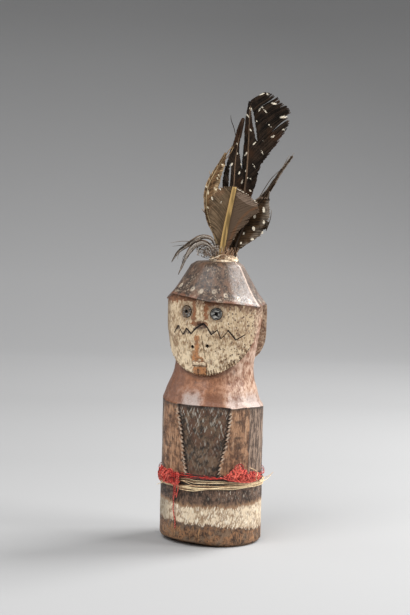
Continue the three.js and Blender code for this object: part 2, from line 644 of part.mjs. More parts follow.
// Across a station: the vane's left edge, the two flanks of the shaft and the right edge.
function featherStation(frame, [, left, right], quill, cup) {
  const bare = Math.max(left, right) <= quill;
  const [edge, ridge] = [bare ? quill / 2 : VANE_EDGE, quill * QUILL_FLATNESS];
  const sides = [-Math.max(left, quill), -quill / 2, quill / 2, Math.max(right, quill)];
  const layer = (flip) => sides.map((offset, i) => frame.centre.clone()
    .addScaledVector(frame.side, offset)
    .addScaledVector(frame.face, flip * (i % 3 ? ridge : edge) + cup * (offset / CUP_WIDTH) ** 2));
  return { front: layer(1), back: layer(-1) };
}

// A slit between barbs: a thin diamond cut straight through the vane, seen in the view.
function vaneSlit({ from, to, width }) {
  const [start, end] = [new THREE.Vector2(...from), new THREE.Vector2(...to)];
  const middle = start.clone().lerp(end, 0.6);
  const across = end.clone().sub(start).normalize().rotateAround(new THREE.Vector2(), Math.PI / 2);
  const corners = [start, middle.clone().addScaledVector(across, width / 2), end,
    middle.clone().addScaledVector(across, -width / 2)];
  const layer = (near) => corners.map((p) => inView([p.x, near, p.y]));
  const [front, back] = [layer(FIGURE_HEIGHT), layer(-FIGURE_HEIGHT)];
  const order = THREE.ShapeUtils.isClockWise(corners) ? [1, 0, 2, 3] : [0, 1, 3, 2];
  const pair = (side) => [[side[order[0]], side[order[1]]], [side[order[2]], side[order[3]]]];
  return solidOf(slabOf(pair(front), pair(back)));
}

function featherGeometry(feather) {
  const vane = [[0, 0, 0], ...feather.vane];
  const frames = shaftFrames(feather, vane.map(([share]) => share));
  const quillAt = (share) => feather.quill * (1 - QUILL_TAPER * share);
  const stations = vane.map((row, i) => featherStation(frames[i], row, quillAt(row[0]), feather.cup));
  const body = slabOf(stations.map(({ front }) => front), stations.map(({ back }) => back));
  if (!feather.slits.length) return body;
  return geometryOf(feather.slits.reduce((solid, slit) => solid.subtract(vaneSlit(slit)), solidOf(body)));
}

// The packing holds each quill in a socket of its own.
function crownPacking() {
  const plug = new THREE.LatheGeometry(PACKING_PROFILE.map(([r, z]) => new THREE.Vector2(r, z)), 20);
  plug.rotateX(Math.PI / 2);
  const [across, near] = PACKING_PLACE;
  const place = inView([across, near, 0]);
  plug.translate(place.x, place.y, 0);
  const sockets = Object.values(FEATHERS).map(({ shaft, quill }) => {
    const curve = new THREE.CatmullRomCurve3(shaft.map(inView), false, 'centripetal');
    const direction = curve.getTangentAt(0);
    const foot = curve.getPointAt(0).addScaledVector(direction, -PIECE_GAP);
    const mouth = foot.clone().addScaledVector(direction, QUILL_SOCKET_LENGTH);
    return solidOf(pegBetween(foot, mouth, quill / QUILL_FLATNESS + PIECE_GAP, 10));
  });
  return geometryOf(sockets.reduce((body, socket) => body.subtract(socket), solidOf(plug)));
}

// Bindings

// A closed band round the trunk, crowned outside.
function bandGeometry({ height, half, thickness }) {
  const angles = evenly(0, 360, BAND_STEPS + 1).slice(0, -1);
  const count = BAND_SECTION.length;
  const corners = angles.flatMap((angle) => BAND_SECTION
    .map(([out, up]) => onRadius(angle, bandRadius(angle, height) + out * thickness, height + up * half)));
  const triangles = angles.flatMap((_, i) => BAND_SECTION.flatMap((_corner, j) => {
    const next = ((i + 1) % angles.length) * count;
    const [a, b] = [i * count + j, i * count + ((j + 1) % count)];
    const [c, d] = [next + j, next + ((j + 1) % count)];
    return [[a, c, d], [a, d, b]];
  }));
  return bodyOf(corners, triangles);
}

function bandRadius(angle, height) {
  const outer = height > PANEL_BOTTOM ? ARM_RADIUS : TRUNK_RADIUS;
  return outer + lean(angle) + PIECE_GAP;
}

// A bunch of yarn: a cushion in front of the bands, thinner towards its edges.
function tuftGeometry({ radii, outline }) {
  const arch = (share, margin) => Math.sin(Math.PI * THREE.MathUtils.lerp(margin, 1 - margin, share));
  const layer = (front) => evenly(0, 1, TUFT_ROWS).map((up) => outline.map(([angle, low, high], i) => {
    const fullness = arch(i / (outline.length - 1), 0.08) * arch(up, 0.1);
    const outer = THREE.MathUtils.lerp(radii[0] + TUFT_EDGE, radii[1], fullness);
    return onRadius(angle, front ? outer : radii[0], THREE.MathUtils.lerp(low, high, up));
  }));
  return slabOf(layer(true), layer(false));
}

function threadGeometry() {
  const route = new THREE.CatmullRomCurve3(THREAD_ROUTE.map((p) => onRadius(...p)), false, 'centripetal');
  const corners = evenly(0, 2 * Math.PI, THREAD_SIDES + 1).slice(0, -1)
    .map((turn) => new THREE.Vector2(THREAD_RADIUS * Math.cos(turn), THREAD_RADIUS * Math.sin(turn)));
  return new THREE.ExtrudeGeometry(new THREE.Shape(corners), { extrudePath: route, steps: THREAD_STEPS });
}

function piece(name, geometry, color, roughness, metalness = 0) {
  const mesh = new THREE.Mesh(geometry, new THREE.MeshStandardMaterial({ color, roughness, metalness }));
  mesh.name = name;
  return mesh;
}

const figure = new THREE.Group();
figure.add(piece('carved_figure', carvedFigure(), 0x7a5440, 0.55));
for (const [side, place] of Object.entries(EYES)) {
  figure.add(piece(`eye_inlay_${side}`, eyeInlay(place), 0x9a9c98, 0.35, 0.8));
}
figure.add(piece('crown_packing', crownPacking(), 0xcabd97, 0.9));
for (const [name, feather] of Object.entries(FEATHERS)) {
  figure.add(piece(name, featherGeometry(feather), feather.color, 0.7));
}
figure.add(piece('fibre_band', bandGeometry(FIBRE_BAND), 0xc4a468, 0.8));
figure.add(piece('red_band', bandGeometry(RED_BAND), 0x9e1f24, 0.9));
for (const [name, tuft] of Object.entries(TUFTS)) {
  figure.add(piece(name, tuftGeometry(tuft), 0xb8282c, 0.95));
}
figure.add(piece('hanging_thread', threadGeometry(), 0xb8383c, 0.9));

export default figure;
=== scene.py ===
# %% [markdown]
# # A carved oracle figure with two faces
# The real object is one billet of wood, about 200 mm high, with a face in front and another behind,
# a faceted cap, a plume of guinea-fowl feathers on the crown and two bindings round the trunk. The
# solids give each piece its size and place. This lesson gives each piece its surface: first the
# camera and the one loose thread, then the carving, then everything that is stuck in it or tied
# round it. All lengths are in millimetres until they are handed to Blender, which wants metres.

# %% Load the measured frame
import math

import bpy
import numpy as np
from mathutils import Matrix, Vector, noise


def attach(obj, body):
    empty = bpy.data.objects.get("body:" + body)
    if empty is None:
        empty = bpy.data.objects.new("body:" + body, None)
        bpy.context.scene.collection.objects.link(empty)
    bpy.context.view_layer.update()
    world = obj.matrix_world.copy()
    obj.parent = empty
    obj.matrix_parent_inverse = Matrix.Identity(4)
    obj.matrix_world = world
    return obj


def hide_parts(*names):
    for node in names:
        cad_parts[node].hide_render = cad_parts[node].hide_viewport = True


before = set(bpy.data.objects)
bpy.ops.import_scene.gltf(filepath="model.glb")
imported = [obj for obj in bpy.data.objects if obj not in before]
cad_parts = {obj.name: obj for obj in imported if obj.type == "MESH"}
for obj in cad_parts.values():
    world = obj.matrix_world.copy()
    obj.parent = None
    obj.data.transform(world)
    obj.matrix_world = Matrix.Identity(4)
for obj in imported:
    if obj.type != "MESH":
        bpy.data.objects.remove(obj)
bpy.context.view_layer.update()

# %% [markdown]
# ## Places on a round thing
# A carver thinks of a billet as front, side and height, not as x, y and z. So places here are an
# angle round the upright axis, 0 at the front and growing towards the right, a radius and a height.
# The plume was read from one side, so its points are told as seen from there: across to the right,
# towards the viewer, and height.

# %% Angle, radius and height
MM = 0.001
VIEW_ANGLE = 20


def on_axis(angle, radius, height):
    """Points in metres from angles in degrees, radii and heights; numbers or arrays."""
    turn = np.radians(angle)
    place = np.broadcast_arrays(radius * np.sin(turn), -radius * np.cos(turn), height)
    return np.stack(place, axis=-1) * MM


def in_view(across, near, height):
    """The same for points told as seen from the viewing side."""
    turn = math.radians(VIEW_ANGLE)
    x = np.multiply(across, math.cos(turn)) + np.multiply(near, math.sin(turn))
    y = np.multiply(across, math.sin(turn)) - np.multiply(near, math.cos(turn))
    return np.stack(np.broadcast_arrays(x, y, height), axis=-1) * MM


def direction(angle, elevation):
    """A unit vector away from the axis, in degrees round it and up from level."""
    turn, rise = math.radians(angle), math.radians(elevation)
    level = math.cos(rise)
    return Vector((math.sin(turn) * level, -math.cos(turn) * level, math.sin(rise)))


def wrapped(angle, start, turn=360):
    """The same direction, told as an angle from start to a whole turn further on."""
    return start + np.mod(angle - start, turn)


TOWARDS_VIEWER = in_view(0, 1, 0) / MM


def show_count(piece):
    """Prints what was made, as a check while reading."""
    size = piece.dimensions * 1000
    print(f"{piece.name}: {len(piece.data.polygons)} faces, {size.x:.1f} x {size.y:.1f} x {size.z:.1f} mm")


print("a place in front, in metres:", on_axis(0, 36, 100).tolist())

# %% [markdown]
# ## Camera
# The figure was seen a little from its left shoulder's side, from just above, with a long lens. A
# camera is aimed by its own three directions, right, up and back, so those are worked out from the
# viewing angle, the pitch and a slight roll, and written into its matrix.

# %% Camera at the viewing angle
LENS = 100
SENSOR = 36
CAMERA_PITCH = 5
CAMERA_ROLL = 1.396
CAMERA_DISTANCE = 1219.1
AIM_HEIGHT = 166.2
AIM_SHIFT = 8.08


def place_camera():
    back = direction(VIEW_ANGLE, CAMERA_PITCH)
    level_right = direction(VIEW_ANGLE + 90, 0)
    roll = math.radians(CAMERA_ROLL)
    upright = back.cross(level_right)
    right = level_right * math.cos(roll) + upright * math.sin(roll)
    up = upright * math.cos(roll) - level_right * math.sin(roll)
    aim = Vector((0, 0, AIM_HEIGHT)) - level_right * AIM_SHIFT
    bpy.ops.object.camera_add()
    camera = bpy.context.object
    camera.name = "camera"
    camera.data.lens = LENS
    camera.data.sensor_width = SENSOR
    camera.data.clip_start = 0.05
    axes = Matrix((right, up, back)).transposed().to_4x4()
    camera.matrix_world = Matrix.Translation((aim + back * CAMERA_DISTANCE) * MM) @ axes
    bpy.context.scene.camera = camera
    print("camera", round(CAMERA_DISTANCE), "mm from the figure")


place_camera()

# %% [markdown]
# ## Floor, backdrop and lamps
# A small carving is shown on a plain sweep: a pale floor that curves up into a backdrop, so that
# there is no horizon. It is one grid, laid flat and bent up behind. The sweep is pale in front and
# falls away into grey: its tones are painted light, brightest where it curves up and in painted
# shade further back. Four large soft lamps light the carving: one above the front, one low at the
# left, one at the right side and one high behind, which draws the bright edges on polished facets.

# %% A sweep that curves up behind
FLOOR_SIZE = 6.0
SWEEP_START = 1.1
SWEEP_RADIUS = 0.9
# Tone of the sweep by how far behind the figure it lies, in metres along floor and wall: painted light,
# brightest where the sweep curves up and darker further back.
SWEEP_REACH = (-1.5, 3.5)
SWEEP_TONES = [[-1.5, 0.38], [0.3, 0.385], [0.68, 0.45], [1.06, 0.62], [1.56, 0.577], [1.9, 0.5],
               [2.19, 0.43], [2.39, 0.37], [2.54, 0.31], [3.5, 0.15]]


def deselect():
    for thing in bpy.context.selected_objects:
        thing.select_set(False)


def swept(point):
    """A flat point, bent up where it lies behind the start of the sweep, seen from the camera."""
    turn = math.radians(VIEW_ANGLE)
    away = -point.x * math.sin(turn) + point.y * math.cos(turn) - SWEEP_START
    if away <= 0:
        return point
    bend = min(away / SWEEP_RADIUS, math.pi / 2)
    rise = SWEEP_RADIUS * (1 - math.cos(bend)) + max(0, away - SWEEP_RADIUS * math.pi / 2)
    back = SWEEP_RADIUS * math.sin(bend) - away
    return point + Vector((-back * math.sin(turn), back * math.cos(turn), rise))


deselect()
bpy.ops.mesh.primitive_grid_add(x_subdivisions=90, y_subdivisions=90, size=FLOOR_SIZE)
floor = bpy.context.object
floor.name = "floor"
for vertex in floor.data.vertices:
    vertex.co = swept(vertex.co)
bpy.ops.object.shade_smooth()
print("sweep of", len(floor.data.polygons), "faces")

# %% [markdown]
# ## Nodes by hand
# Each finish below is a tree of nodes. These helpers add one node at a time and hand back its
# output, so a finish reads like a recipe: this noise, through that ramp, over this colour.

# %% Helpers that add one node each
class Finish:
    """A material with its shader, and one method for each kind of step in a recipe."""

    def __init__(self, name, roughness=0.6, **settings):
        self.material = bpy.data.materials.new(name)
        self.material.use_nodes = True
        self.tree = self.material.node_tree
        self.shader = self.tree.nodes["Principled BSDF"]
        for socket, value in {"Roughness": roughness, **settings}.items():
            self.shader.inputs[socket.replace("_", " ")].default_value = value
        self.place = self.add("ShaderNodeTexCoord").outputs["Object"]

    def feed(self, socket, value):
        """Feeds an input: a node's output, the name of a number kept in the mesh, or a plain value."""
        if isinstance(value, str):
            value = self.add("ShaderNodeAttribute", attribute_name=value).outputs["Fac"]
        if isinstance(value, bpy.types.NodeSocket):
            self.tree.links.new(value, socket)
        else:
            socket.default_value = value

    def add(self, kind, inputs=None, **settings):
        node = self.tree.nodes.new(kind)
        for key, value in settings.items():
            setattr(node, key, value)
        for key, value in (inputs or {}).items():
            self.feed(node.inputs[key], value)
        return node

    def stretched(self, x, y, z, source=None):
        """Coordinates multiplied along each axis: a small number draws a pattern out."""
        inputs = {0: source or self.place, 1: (x, y, z)}
        return self.add("ShaderNodeVectorMath", inputs, operation="MULTIPLY").outputs[0]

    def axis(self, vector, index):
        return self.add("ShaderNodeSeparateXYZ", {0: vector}).outputs[index]

    def noise(self, scale, detail=4.0, vector=None):
        inputs = {"Vector": vector or self.place, "Scale": scale, "Detail": detail}
        return self.add("ShaderNodeTexNoise", inputs).outputs["Fac"]

    def cells(self, scale):
        inputs = {"Vector": self.place, "Scale": scale}
        return self.add("ShaderNodeTexVoronoi", inputs).outputs["Distance"]

    def by_strand(self):
        """A random number for each strand."""
        return self.add("ShaderNodeTexWhiteNoise", {1: "which"}, noise_dimensions="1D").outputs["Value"]

    def between(self, value, low, high, start=0.0, end=1.0):
        """A smooth step: start below low, end above high."""
        inputs = {0: value, 1: low, 2: high, 3: start, 4: end}
        return self.add("ShaderNodeMapRange", inputs, interpolation_type="SMOOTHSTEP").outputs[0]

    def window(self, value, rise, full, fade, gone):
        """1 between full and fade, 0 before rise and after gone."""
        return self.product(self.between(value, rise, full), self.between(value, gone, fade))

    def chained(self, operation, values):
        total = values[0]
        for value in values[1:]:
            total = self.add("ShaderNodeMath", {0: total, 1: value}, operation=operation).outputs[0]
        return total

    def sum(self, *values):
        return self.chained("ADD", values)

    def product(self, *values):
        return self.chained("MULTIPLY", values)

    def weighted(self, *pairs):
        return self.sum(*(self.product(value, weight) for value, weight in pairs))

    def layers(self, below, *coats):
        """A ground, then coats: each a colour and the masks, multiplied, through which it shows.

        A mask is a value from 0 to 1, or a value in brackets with the two numbers that it rises between.
        """
        for above, *masks in coats:
            masks = [self.between(*mask) if isinstance(mask, tuple) else mask for mask in masks]
            node = self.add("ShaderNodeMix", {0: self.product(*masks)}, data_type="RGBA")
            for index, color in ((6, below), (7, above)):
                self.feed(node.inputs[index], (*color, 1) if isinstance(color, tuple) else color)
            below = node.outputs[2]
        return below

    def drift(self, value, reach):
        """A noise about 0.5 as a change about 0."""
        return self.product(self.sum(value, -0.5), reach)

    def stops(self, value, reach, table):
        """A grey that goes through the tones of a table, given at places within reach."""
        low, high = reach
        share = self.add("ShaderNodeMapRange", {0: value, 1: low, 2: high}).outputs[0]
        node = self.add("ShaderNodeValToRGB", {0: share})
        ramp = node.color_ramp.elements
        while len(ramp) < len(table):
            ramp.new(0.5)
        for stop, (place, tone) in zip(ramp, table):
            stop.position = (place - low) / (high - low)
            stop.color = (tone, tone, tone, 1)
        return node.outputs[0]

    def surface(self, color, roughness=None, height=None, depth=0.0002):
        """Links the finished colour, roughness and relief to the shader."""
        self.feed(self.shader.inputs["Base Color"], color)
        if roughness:
            self.feed(self.shader.inputs["Roughness"], roughness)
        if height:
            bump = self.add("ShaderNodeBump", {"Height": height, "Distance": depth, "Strength": 1.0})
            self.feed(self.shader.inputs["Normal"], bump.outputs[0])
        return self.material


print("steps of a recipe:", [step for step in vars(Finish) if not step.startswith("_")])

# %% Pale floor, grey distance
def sweep_finish():
    finish = Finish("sweep", roughness=0.9)
    turn = math.radians(VIEW_ANGLE)
    along = finish.stretched(-math.sin(turn), math.cos(turn), 1.15)
    distance = finish.sum(*(finish.axis(along, index) for index in range(3)))
    distance = finish.sum(distance, finish.drift(finish.noise(1.5), 0.12))
    # The ramp is painted light: pale in front, brightest where the sweep curves up, and painted shade further
    # back.
    return finish.surface(finish.stops(distance, SWEEP_REACH, SWEEP_TONES))


floor.data.materials.append(sweep_finish())
print("floor finish", floor.data.materials[0].name)

# %% Soft lamps and an even sky
LAMPS = {
    "front_above": {"angle": -14, "elevation": 48, "distance": 1.3, "size": 0.9, "power": 15},
    "left_low": {"angle": -80, "elevation": 14, "distance": 1.2, "size": 0.7, "power": 2.2},
    "right_side": {"angle": 96, "elevation": 26, "distance": 1.1, "size": 0.5, "power": 8},
    "right_behind": {"angle": 139, "elevation": 46, "distance": 1.0, "size": 0.45, "power": 13},
}
LAMP_AIM = Vector((0, 0, 150 * MM))
SKY_TONE = (0.9, 0.9, 0.92, 1)
SKY_STRENGTH = 0.26


def place_lamp(name, angle, elevation, distance, size, power):
    outward = direction(angle, elevation)
    bpy.ops.object.light_add(type="AREA", location=LAMP_AIM + outward * distance)
    lamp = bpy.context.object
    lamp.name = name
    lamp.rotation_mode = "QUATERNION"
    lamp.rotation_quaternion = outward.to_track_quat("Z", "Y")
    lamp.data.size = size
    lamp.data.energy = power
    lamp.visible_camera = False


for lamp_name, lamp_facts in LAMPS.items():
    place_lamp(lamp_name, **lamp_facts)
world = bpy.context.scene.world or bpy.data.worlds.new("sky")
bpy.context.scene.world = world
world.use_nodes = True
world.node_tree.nodes["Background"].inputs["Color"].default_value = SKY_TONE
world.node_tree.nodes["Background"].inputs["Strength"].default_value = SKY_STRENGTH
bpy.context.scene.view_settings.view_transform = "Standard"
print(len(LAMPS), "lamps")

# %% [markdown]
# ## The hanging thread
# One end of the red yarn has slipped out of the left tuft and hangs down the trunk to just above
# the worn foot. It is limp, so it follows the wood and only swings in and out a little. This yarn is
# three plies twisted round each other, and that is how it is made here: the route is a smooth line,
# each ply is a curve wound round that line, and all are turned into one mesh.

# %% A smooth line through a few points
def smooth_line(points, count):
    """Even points on a centripetal Catmull-Rom curve, which passes through every point given."""
    given = np.array(points, float)
    ends = np.array([2 * given[0] - given[1], *given, 2 * given[-1] - given[-2]])
    fine = []
    for p0, p1, p2, p3 in zip(ends, ends[1:], ends[2:], ends[3:]):
        gaps = [np.linalg.norm(b - a) ** 0.5 for a, b in ((p0, p1), (p1, p2), (p2, p3))]
        t0, t1, t2, t3 = np.cumsum([0, *gaps])
        t = np.linspace(t1, t2, 24, endpoint=False)[:, None]

        def mixed(a, b, start, end):
            return a + (b - a) * (t - start) / (end - start)

        near, middle, far = mixed(p0, p1, t0, t1), mixed(p1, p2, t1, t2), mixed(p2, p3, t2, t3)
        fine.extend(mixed(mixed(near, middle, t0, t2), mixed(middle, far, t1, t3), t1, t2))
    fine.append(given[-1])
    return evenly_spaced(np.array(fine), count)


def stretches(line):
    """The distance from each point of a line to the next."""
    return np.linalg.norm(np.diff(line, axis=0), axis=1)


def along_line(places, stops, line):
    """Points on a line at given places, where stops are the places of the line's own points."""
    return np.stack([np.interp(places, stops, line[:, axis]) for axis in range(3)], axis=-1)


def evenly_spaced(line, count):
    travelled = np.concatenate([[0], np.cumsum(stretches(line))])
    return along_line(np.linspace(0, travelled[-1], count), travelled, line)


def seen_line(route, count):
    """A smooth line through points told as seen from the viewing side."""
    return smooth_line([in_view(*place) for place in route], count)


def round_line(route, count):
    """A smooth line through points told as angle, radius and height."""
    return smooth_line([on_axis(*place) for place in route], count)


def unit(vectors):
    return vectors / np.maximum(np.linalg.norm(vectors, axis=-1, keepdims=True), 1e-12)


print("a bend through three points:", np.round(smooth_line([[0, 0, 0], [1, 1, 0], [2, 0, 0]], 5), 2).tolist())

# %% [markdown]
# ## One strand, laid many times
# Yarn, straw, down and the barbs of a feather are all the same job: a thin strand, repeated many
# times, each time along another line. So a strand is modelled once, as a cylinder with a few sides
# that is cut across in edit mode, and then a copy is laid along each line. A copy of four sides
# that is wide and flat is a barb; one of five sides that is round is a hair of yarn.

# %% A strand, and copies laid along lines
def points_of(parts, what="co"):
    """The places of vertices, or the centres of faces, as rows of x, y and z."""
    places = np.empty(3 * len(parts))
    parts.foreach_get(what, places)
    return places.reshape(-1, 3)


def cut_finer(piece, kind, chosen, cuts):
    """Cuts the chosen edges or faces of a piece in edit mode."""
    bpy.ops.object.mode_set(mode="EDIT")
    bpy.ops.mesh.select_mode(type=kind)
    bpy.ops.mesh.select_all(action="DESELECT")
    bpy.ops.object.mode_set(mode="OBJECT")
    parts = piece.data.edges if kind == "EDGE" else piece.data.polygons
    parts.foreach_set("select", chosen)
    bpy.ops.object.mode_set(mode="EDIT")
    bpy.ops.mesh.subdivide(number_cuts=cuts)
    bpy.ops.object.mode_set(mode="OBJECT")


def strand_model(sides, steps):
    """Vertices and faces of a closed strand of radius 1 that runs from 0 to 1 along Z."""
    deselect()
    bpy.ops.mesh.primitive_cylinder_add(vertices=sides, radius=1, depth=1, location=(0, 0, 0.5))
    strand = bpy.context.object
    bpy.ops.object.transform_apply(location=True)
    level = points_of(strand.data.vertices)[:, 2]
    upright = [abs(np.diff(level[list(edge.vertices)])[0]) > 0.5 for edge in strand.data.edges]
    cut_finer(strand, "EDGE", upright, steps - 1)
    corners = points_of(strand.data.vertices)
    faces = [list(face.vertices) for face in strand.data.polygons]
    bpy.data.objects.remove(strand)
    return corners, faces


def mesh_of(name, places, faces):
    """A smooth-shaded object at the origin, from points in metres."""
    data = bpy.data.meshes.new(name)
    data.from_pydata(places.tolist(), [], faces)
    data.polygons.foreach_set("use_smooth", [True] * len(data.polygons))
    piece = bpy.data.objects.new(name, data)
    bpy.context.collection.objects.link(piece)
    return piece


def keep_number(piece, name, values):
    """A number at every vertex, which a finish can read by its name."""
    numbers = np.ravel(values).astype(np.float32)
    piece.data.attributes.new(name, "FLOAT", "POINT").data.foreach_set("value", numbers)


def lay_strands(name, sides, lines, width, thickness, facing, **by_line):
    """Copies of a strand along lines of points in metres; half sizes in mm, by line and point.

    What else is told by line, or once for all lines, is kept as a number with that name.
    """
    lines = np.array(lines)
    count, levels = lines.shape[:2]
    corners, faces = strand_model(sides, levels - 1)
    level = np.rint(corners[:, 2] * (levels - 1)).astype(int)
    tangent = unit(np.gradient(lines, axis=1))
    side = unit(np.cross(tangent, np.broadcast_to(facing, tangent.shape)))
    front = np.cross(side, tangent)
    wide = np.broadcast_to(width, (count, levels))[:, level] * MM * corners[:, 0]
    thick = np.broadcast_to(thickness, (count, levels))[:, level] * MM * corners[:, 1]
    places = lines[:, level] + side[:, level] * wide[..., None] + front[:, level] * thick[..., None]
    copies = [[i + copy * len(corners) for i in face] for copy in range(count) for face in faces]
    piece = mesh_of(name, places.reshape(-1, 3), copies)
    keep_number(piece, "along", np.tile(corners[:, 2], count))
    keep_number(piece, "across", np.tile(corners[:, 0], count))
    for key, values in {"which": np.arange(count), **by_line}.items():
        keep_number(piece, key, np.repeat(np.broadcast_to(values, count), len(corners)))
    return piece


def joined(name, pieces):
    """Several meshes as one."""
    deselect()
    for piece in pieces:
        piece.select_set(True)
    bpy.context.view_layer.objects.active = pieces[0]
    bpy.ops.object.join()
    pieces[0].name = name
    pieces[0].data.name = name
    return pieces[0]


def stands_for(piece, node, finish=None):
    """The piece takes the place of a measured solid, in that material."""
    if finish:
        piece.data.materials.clear()
        piece.data.materials.append(finish)
    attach(piece, "root")
    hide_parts(node)
    show_count(piece)


print("a flat barb of six steps has", len(strand_model(4, 6)[0]), "points")

# %% Red wool
def yarn_finish(name, shade, worn, deep):
    """Dyed wool: each strand has its own tone; deep is painted shade between the hairs, and worn is pale
    along the outside, partly faded and partly painted highlight.
    """
    f = Finish(name, roughness=0.95, Sheen_Weight=0.2, Sheen_Roughness=0.5)
    hairs, patches = f.noise(900, 3, f.stretched(1, 1, 0.35)), f.noise(160, 2)
    by_strand = f.by_strand()
    tone = f.layers(deep,
                    [shade, (f.sum(hairs, by_strand), 0.45, 1.2)],
                    [worn, (f.sum(patches, f.product(by_strand, 0.5)), 0.62, 0.92)])
    return f.surface(tone, height=hairs, depth=0.00025)


# The pale red is partly faded wool and partly painted highlight; the darkest red is painted shade between the
# hairs.
RED = (0.78, 0.04, 0.024)
RED_FADED_AND_HIGHLIGHT = (0.97, 0.215, 0.15)
RED_SHADE_BETWEEN_HAIRS = (0.17, 0.008, 0.009)
red_wool = yarn_finish("red_wool", RED, RED_FADED_AND_HIGHLIGHT, RED_SHADE_BETWEEN_HAIRS)
shaded_wool = yarn_finish("shaded_wool", (0.2, 0.012, 0.014), RED, (0.03, 0.003, 0.004))
print(red_wool.name, shaded_wool.name)

# %% The thread: three plies
THREAD_ROUTE = [[-20.8, 39.5, 41.9], [-21.9, 39, 38], [-24.4, 38.2, 33], [-25.2, 37.9, 29.3],
                [-25.9, 37.8, 25.8], [-24.3, 37.8, 20.7], [-22.7, 37.8, 17.2], [-22.5, 37.8, 11.8]]
THREAD_DIAMETER = 0.9
THREAD_FACING = (0.3, 0.2, 1.0)
PLY_RADIUS = 0.26
PLY_TWIST = 17
PLY_POINTS = 91


def plied(line, plies, offset, turns):
    """Lines that wind round a line, one for each ply."""
    tangent = unit(np.gradient(line, axis=0))
    outward = unit(np.cross(tangent, THREAD_FACING))
    aside = np.cross(tangent, outward)
    turn = np.linspace(0, 2 * math.pi * turns, len(line))
    starts = [2 * math.pi * ply / plies for ply in range(plies)]
    return np.array([line + offset * MM * (outward * np.cos(turn + start)[:, None]
                                           + aside * np.sin(turn + start)[:, None]) for start in starts])


def thread():
    route = round_line(THREAD_ROUTE, 40)
    lines = plied(round_line(THREAD_ROUTE, PLY_POINTS), 3, THREAD_DIAMETER / 2 - PLY_RADIUS, PLY_TWIST)
    piece = lay_strands("hanging_thread_yarn", 6, lines, PLY_RADIUS, PLY_RADIUS, THREAD_FACING)
    stands_for(piece, "hanging_thread", red_wool)


thread()

# %% [markdown]
# ## The carving as one unrolled sheet
# The figure is one billet, cut with an adze and a knife, rubbed smooth and then painted. A carver
# thinks of its skin as a sheet wrapped round the wood: so many degrees round, so many cuts up. It is
# made the same way: a flat grid whose width is the angle and whose length runs up through foot,
# trunk, shoulders, neck, face and cap. The places where the knife was busy are cut finer in edit
# mode, while the sheet is still flat, and then every point is put on the wood by the rules below.

# %% The measured shape of the billet
TRUNK_RADIUS = 36.4
ARM_RADIUS = 36.9
TRUNK_LEAN = 0.55
PANEL_BOTTOM = 49
# How deep the front, side and back panels are sunk, and over how many mm their edges slope.
PANELS = [(1.9, 0.35), (0.9, 0.5), (1.3, 0.5)]
ARM_EDGES = (-51, 64.5)
PANEL_LEFT = [[49, -10], [57.6, -11.8], [71.5, -15.9], [85.5, -18.7], [99, -24.8]]
PANEL_RIGHT = [[49, 25.5], [60.5, 28.7], [71.8, 33.4], [83.8, 36.4], [99, 39.3]]
TOOTH_PITCH = 3
TOOTH_START = 1.1
TOOTH_SWING = 1.3
TEETH_TOP = 96
WORN = {"height": 6.4, "angle": -15, "left": 58, "right": 42, "power": 2.6}
FOOT_ROUNDING = 2
# How far in the foot's rounded edge lies, by share of its height.
FOOT_INSET = [[0, FOOT_ROUNDING + 1.3], [0.55, 0.9], [0.75, 0.45], [1, 0]]
LEDGE = [[-100, 102], [-60, 101.5], [-20, 100.3], [7, 100.2], [30, 99.6], [41.5, 98.6], [55, 99.3],
         [75, 98.6], [110, 97], [150, 98], [200, 99.5], [230, 101]]
NECK_PROFILE = [[100, 36.8, 35.8], [103.3, 35.5, 33.3], [107.6, 34.1, 31.8], [112, 32.1, 30.8],
                [116.5, 30.1, 29.2], [121, 28.8, 28.2], [125.5, 28.2, 27.6], [131, 28.4, 27.8],
                [140, 29.3, 29.3], [150, 31, 31], [160, 32.4, 32.6], [172, 33, 33.5]]
LEDGE_LEVEL = 100
FACETS_END = 121
SHOULDER_CORNERS = [6.8 + facet * 360 / 13 for facet in range(13)]
FACE_ANGLE = 4
FACE_HALF_WIDTH = 77
FACE_CHEEK = 160
FACE_CHIN = 121
FACE_RADIUS = 34
FACE_WIDEST = 150
# How the plate of a face departs from the round, in mm: in at the chin, in at the left cheek, out at
# its upper corners in front and behind, and in at the brow; the face behind stands further out.
FACE_SHAPE = {"chin": 2.5, "cheek": 1.9, "corner": 0.06, "back_corner": 0.015, "brow": 0.5, "back": 2.2}
CAP_CORNERS = [[-98, 171], [-75, 171.5], [-42, 177], [-14, 175.6], [12, 173], [40, 171.8],
               [77, 168.8], [112, 169.5], [150, 172], [188, 174.5], [225, 174]]
CAP_RIM_RADIUS = 36
CAP_FOOT_RADIUS = 35.5
CAP_TOP = {"height": 196.9, "radius": 19.0}
CAP_CROWN = {"height": 199.3, "radius": 15.2}
CAP_SLOPE = [[0, 1], [0.23, 0.71], [0.41, 0.535], [0.7, 0.27], [1, 0]]
FIGURE_HEIGHT = 200
HOLLOW_PLACE = in_view(4.5, 0, 0)
HOLLOW = {"radius": 10.7, "edge": FIGURE_HEIGHT - 0.15, "floor": 190}


def reading(table, place, column=1):
    rows = np.array(table, float)
    return np.interp(place, rows[:, 0], rows[:, column])


def both_readings(table, place):
    """What the second and the third column of a table say at a place of the first."""
    return reading(table, place, 1), reading(table, place, 2)


def reading_around(table, angle):
    start, value = table[0]
    return reading([*table, [start + 360, value]], wrapped(angle, start))


def facet_share(corners, angle, flatness):
    """1 at the corner angles and less between them, where a flat facet falls inside the round."""
    closed = np.array([*corners, corners[0] + 360])
    turned = wrapped(angle, closed[0])
    after = np.clip(np.searchsorted(closed, turned, side="right"), 1, len(closed) - 1)
    start, end = closed[after - 1], closed[after]
    chord = np.cos(np.radians((end - start) / 2)) / np.cos(np.radians(turned - (start + end) / 2))
    return 1 - flatness * (1 - chord)


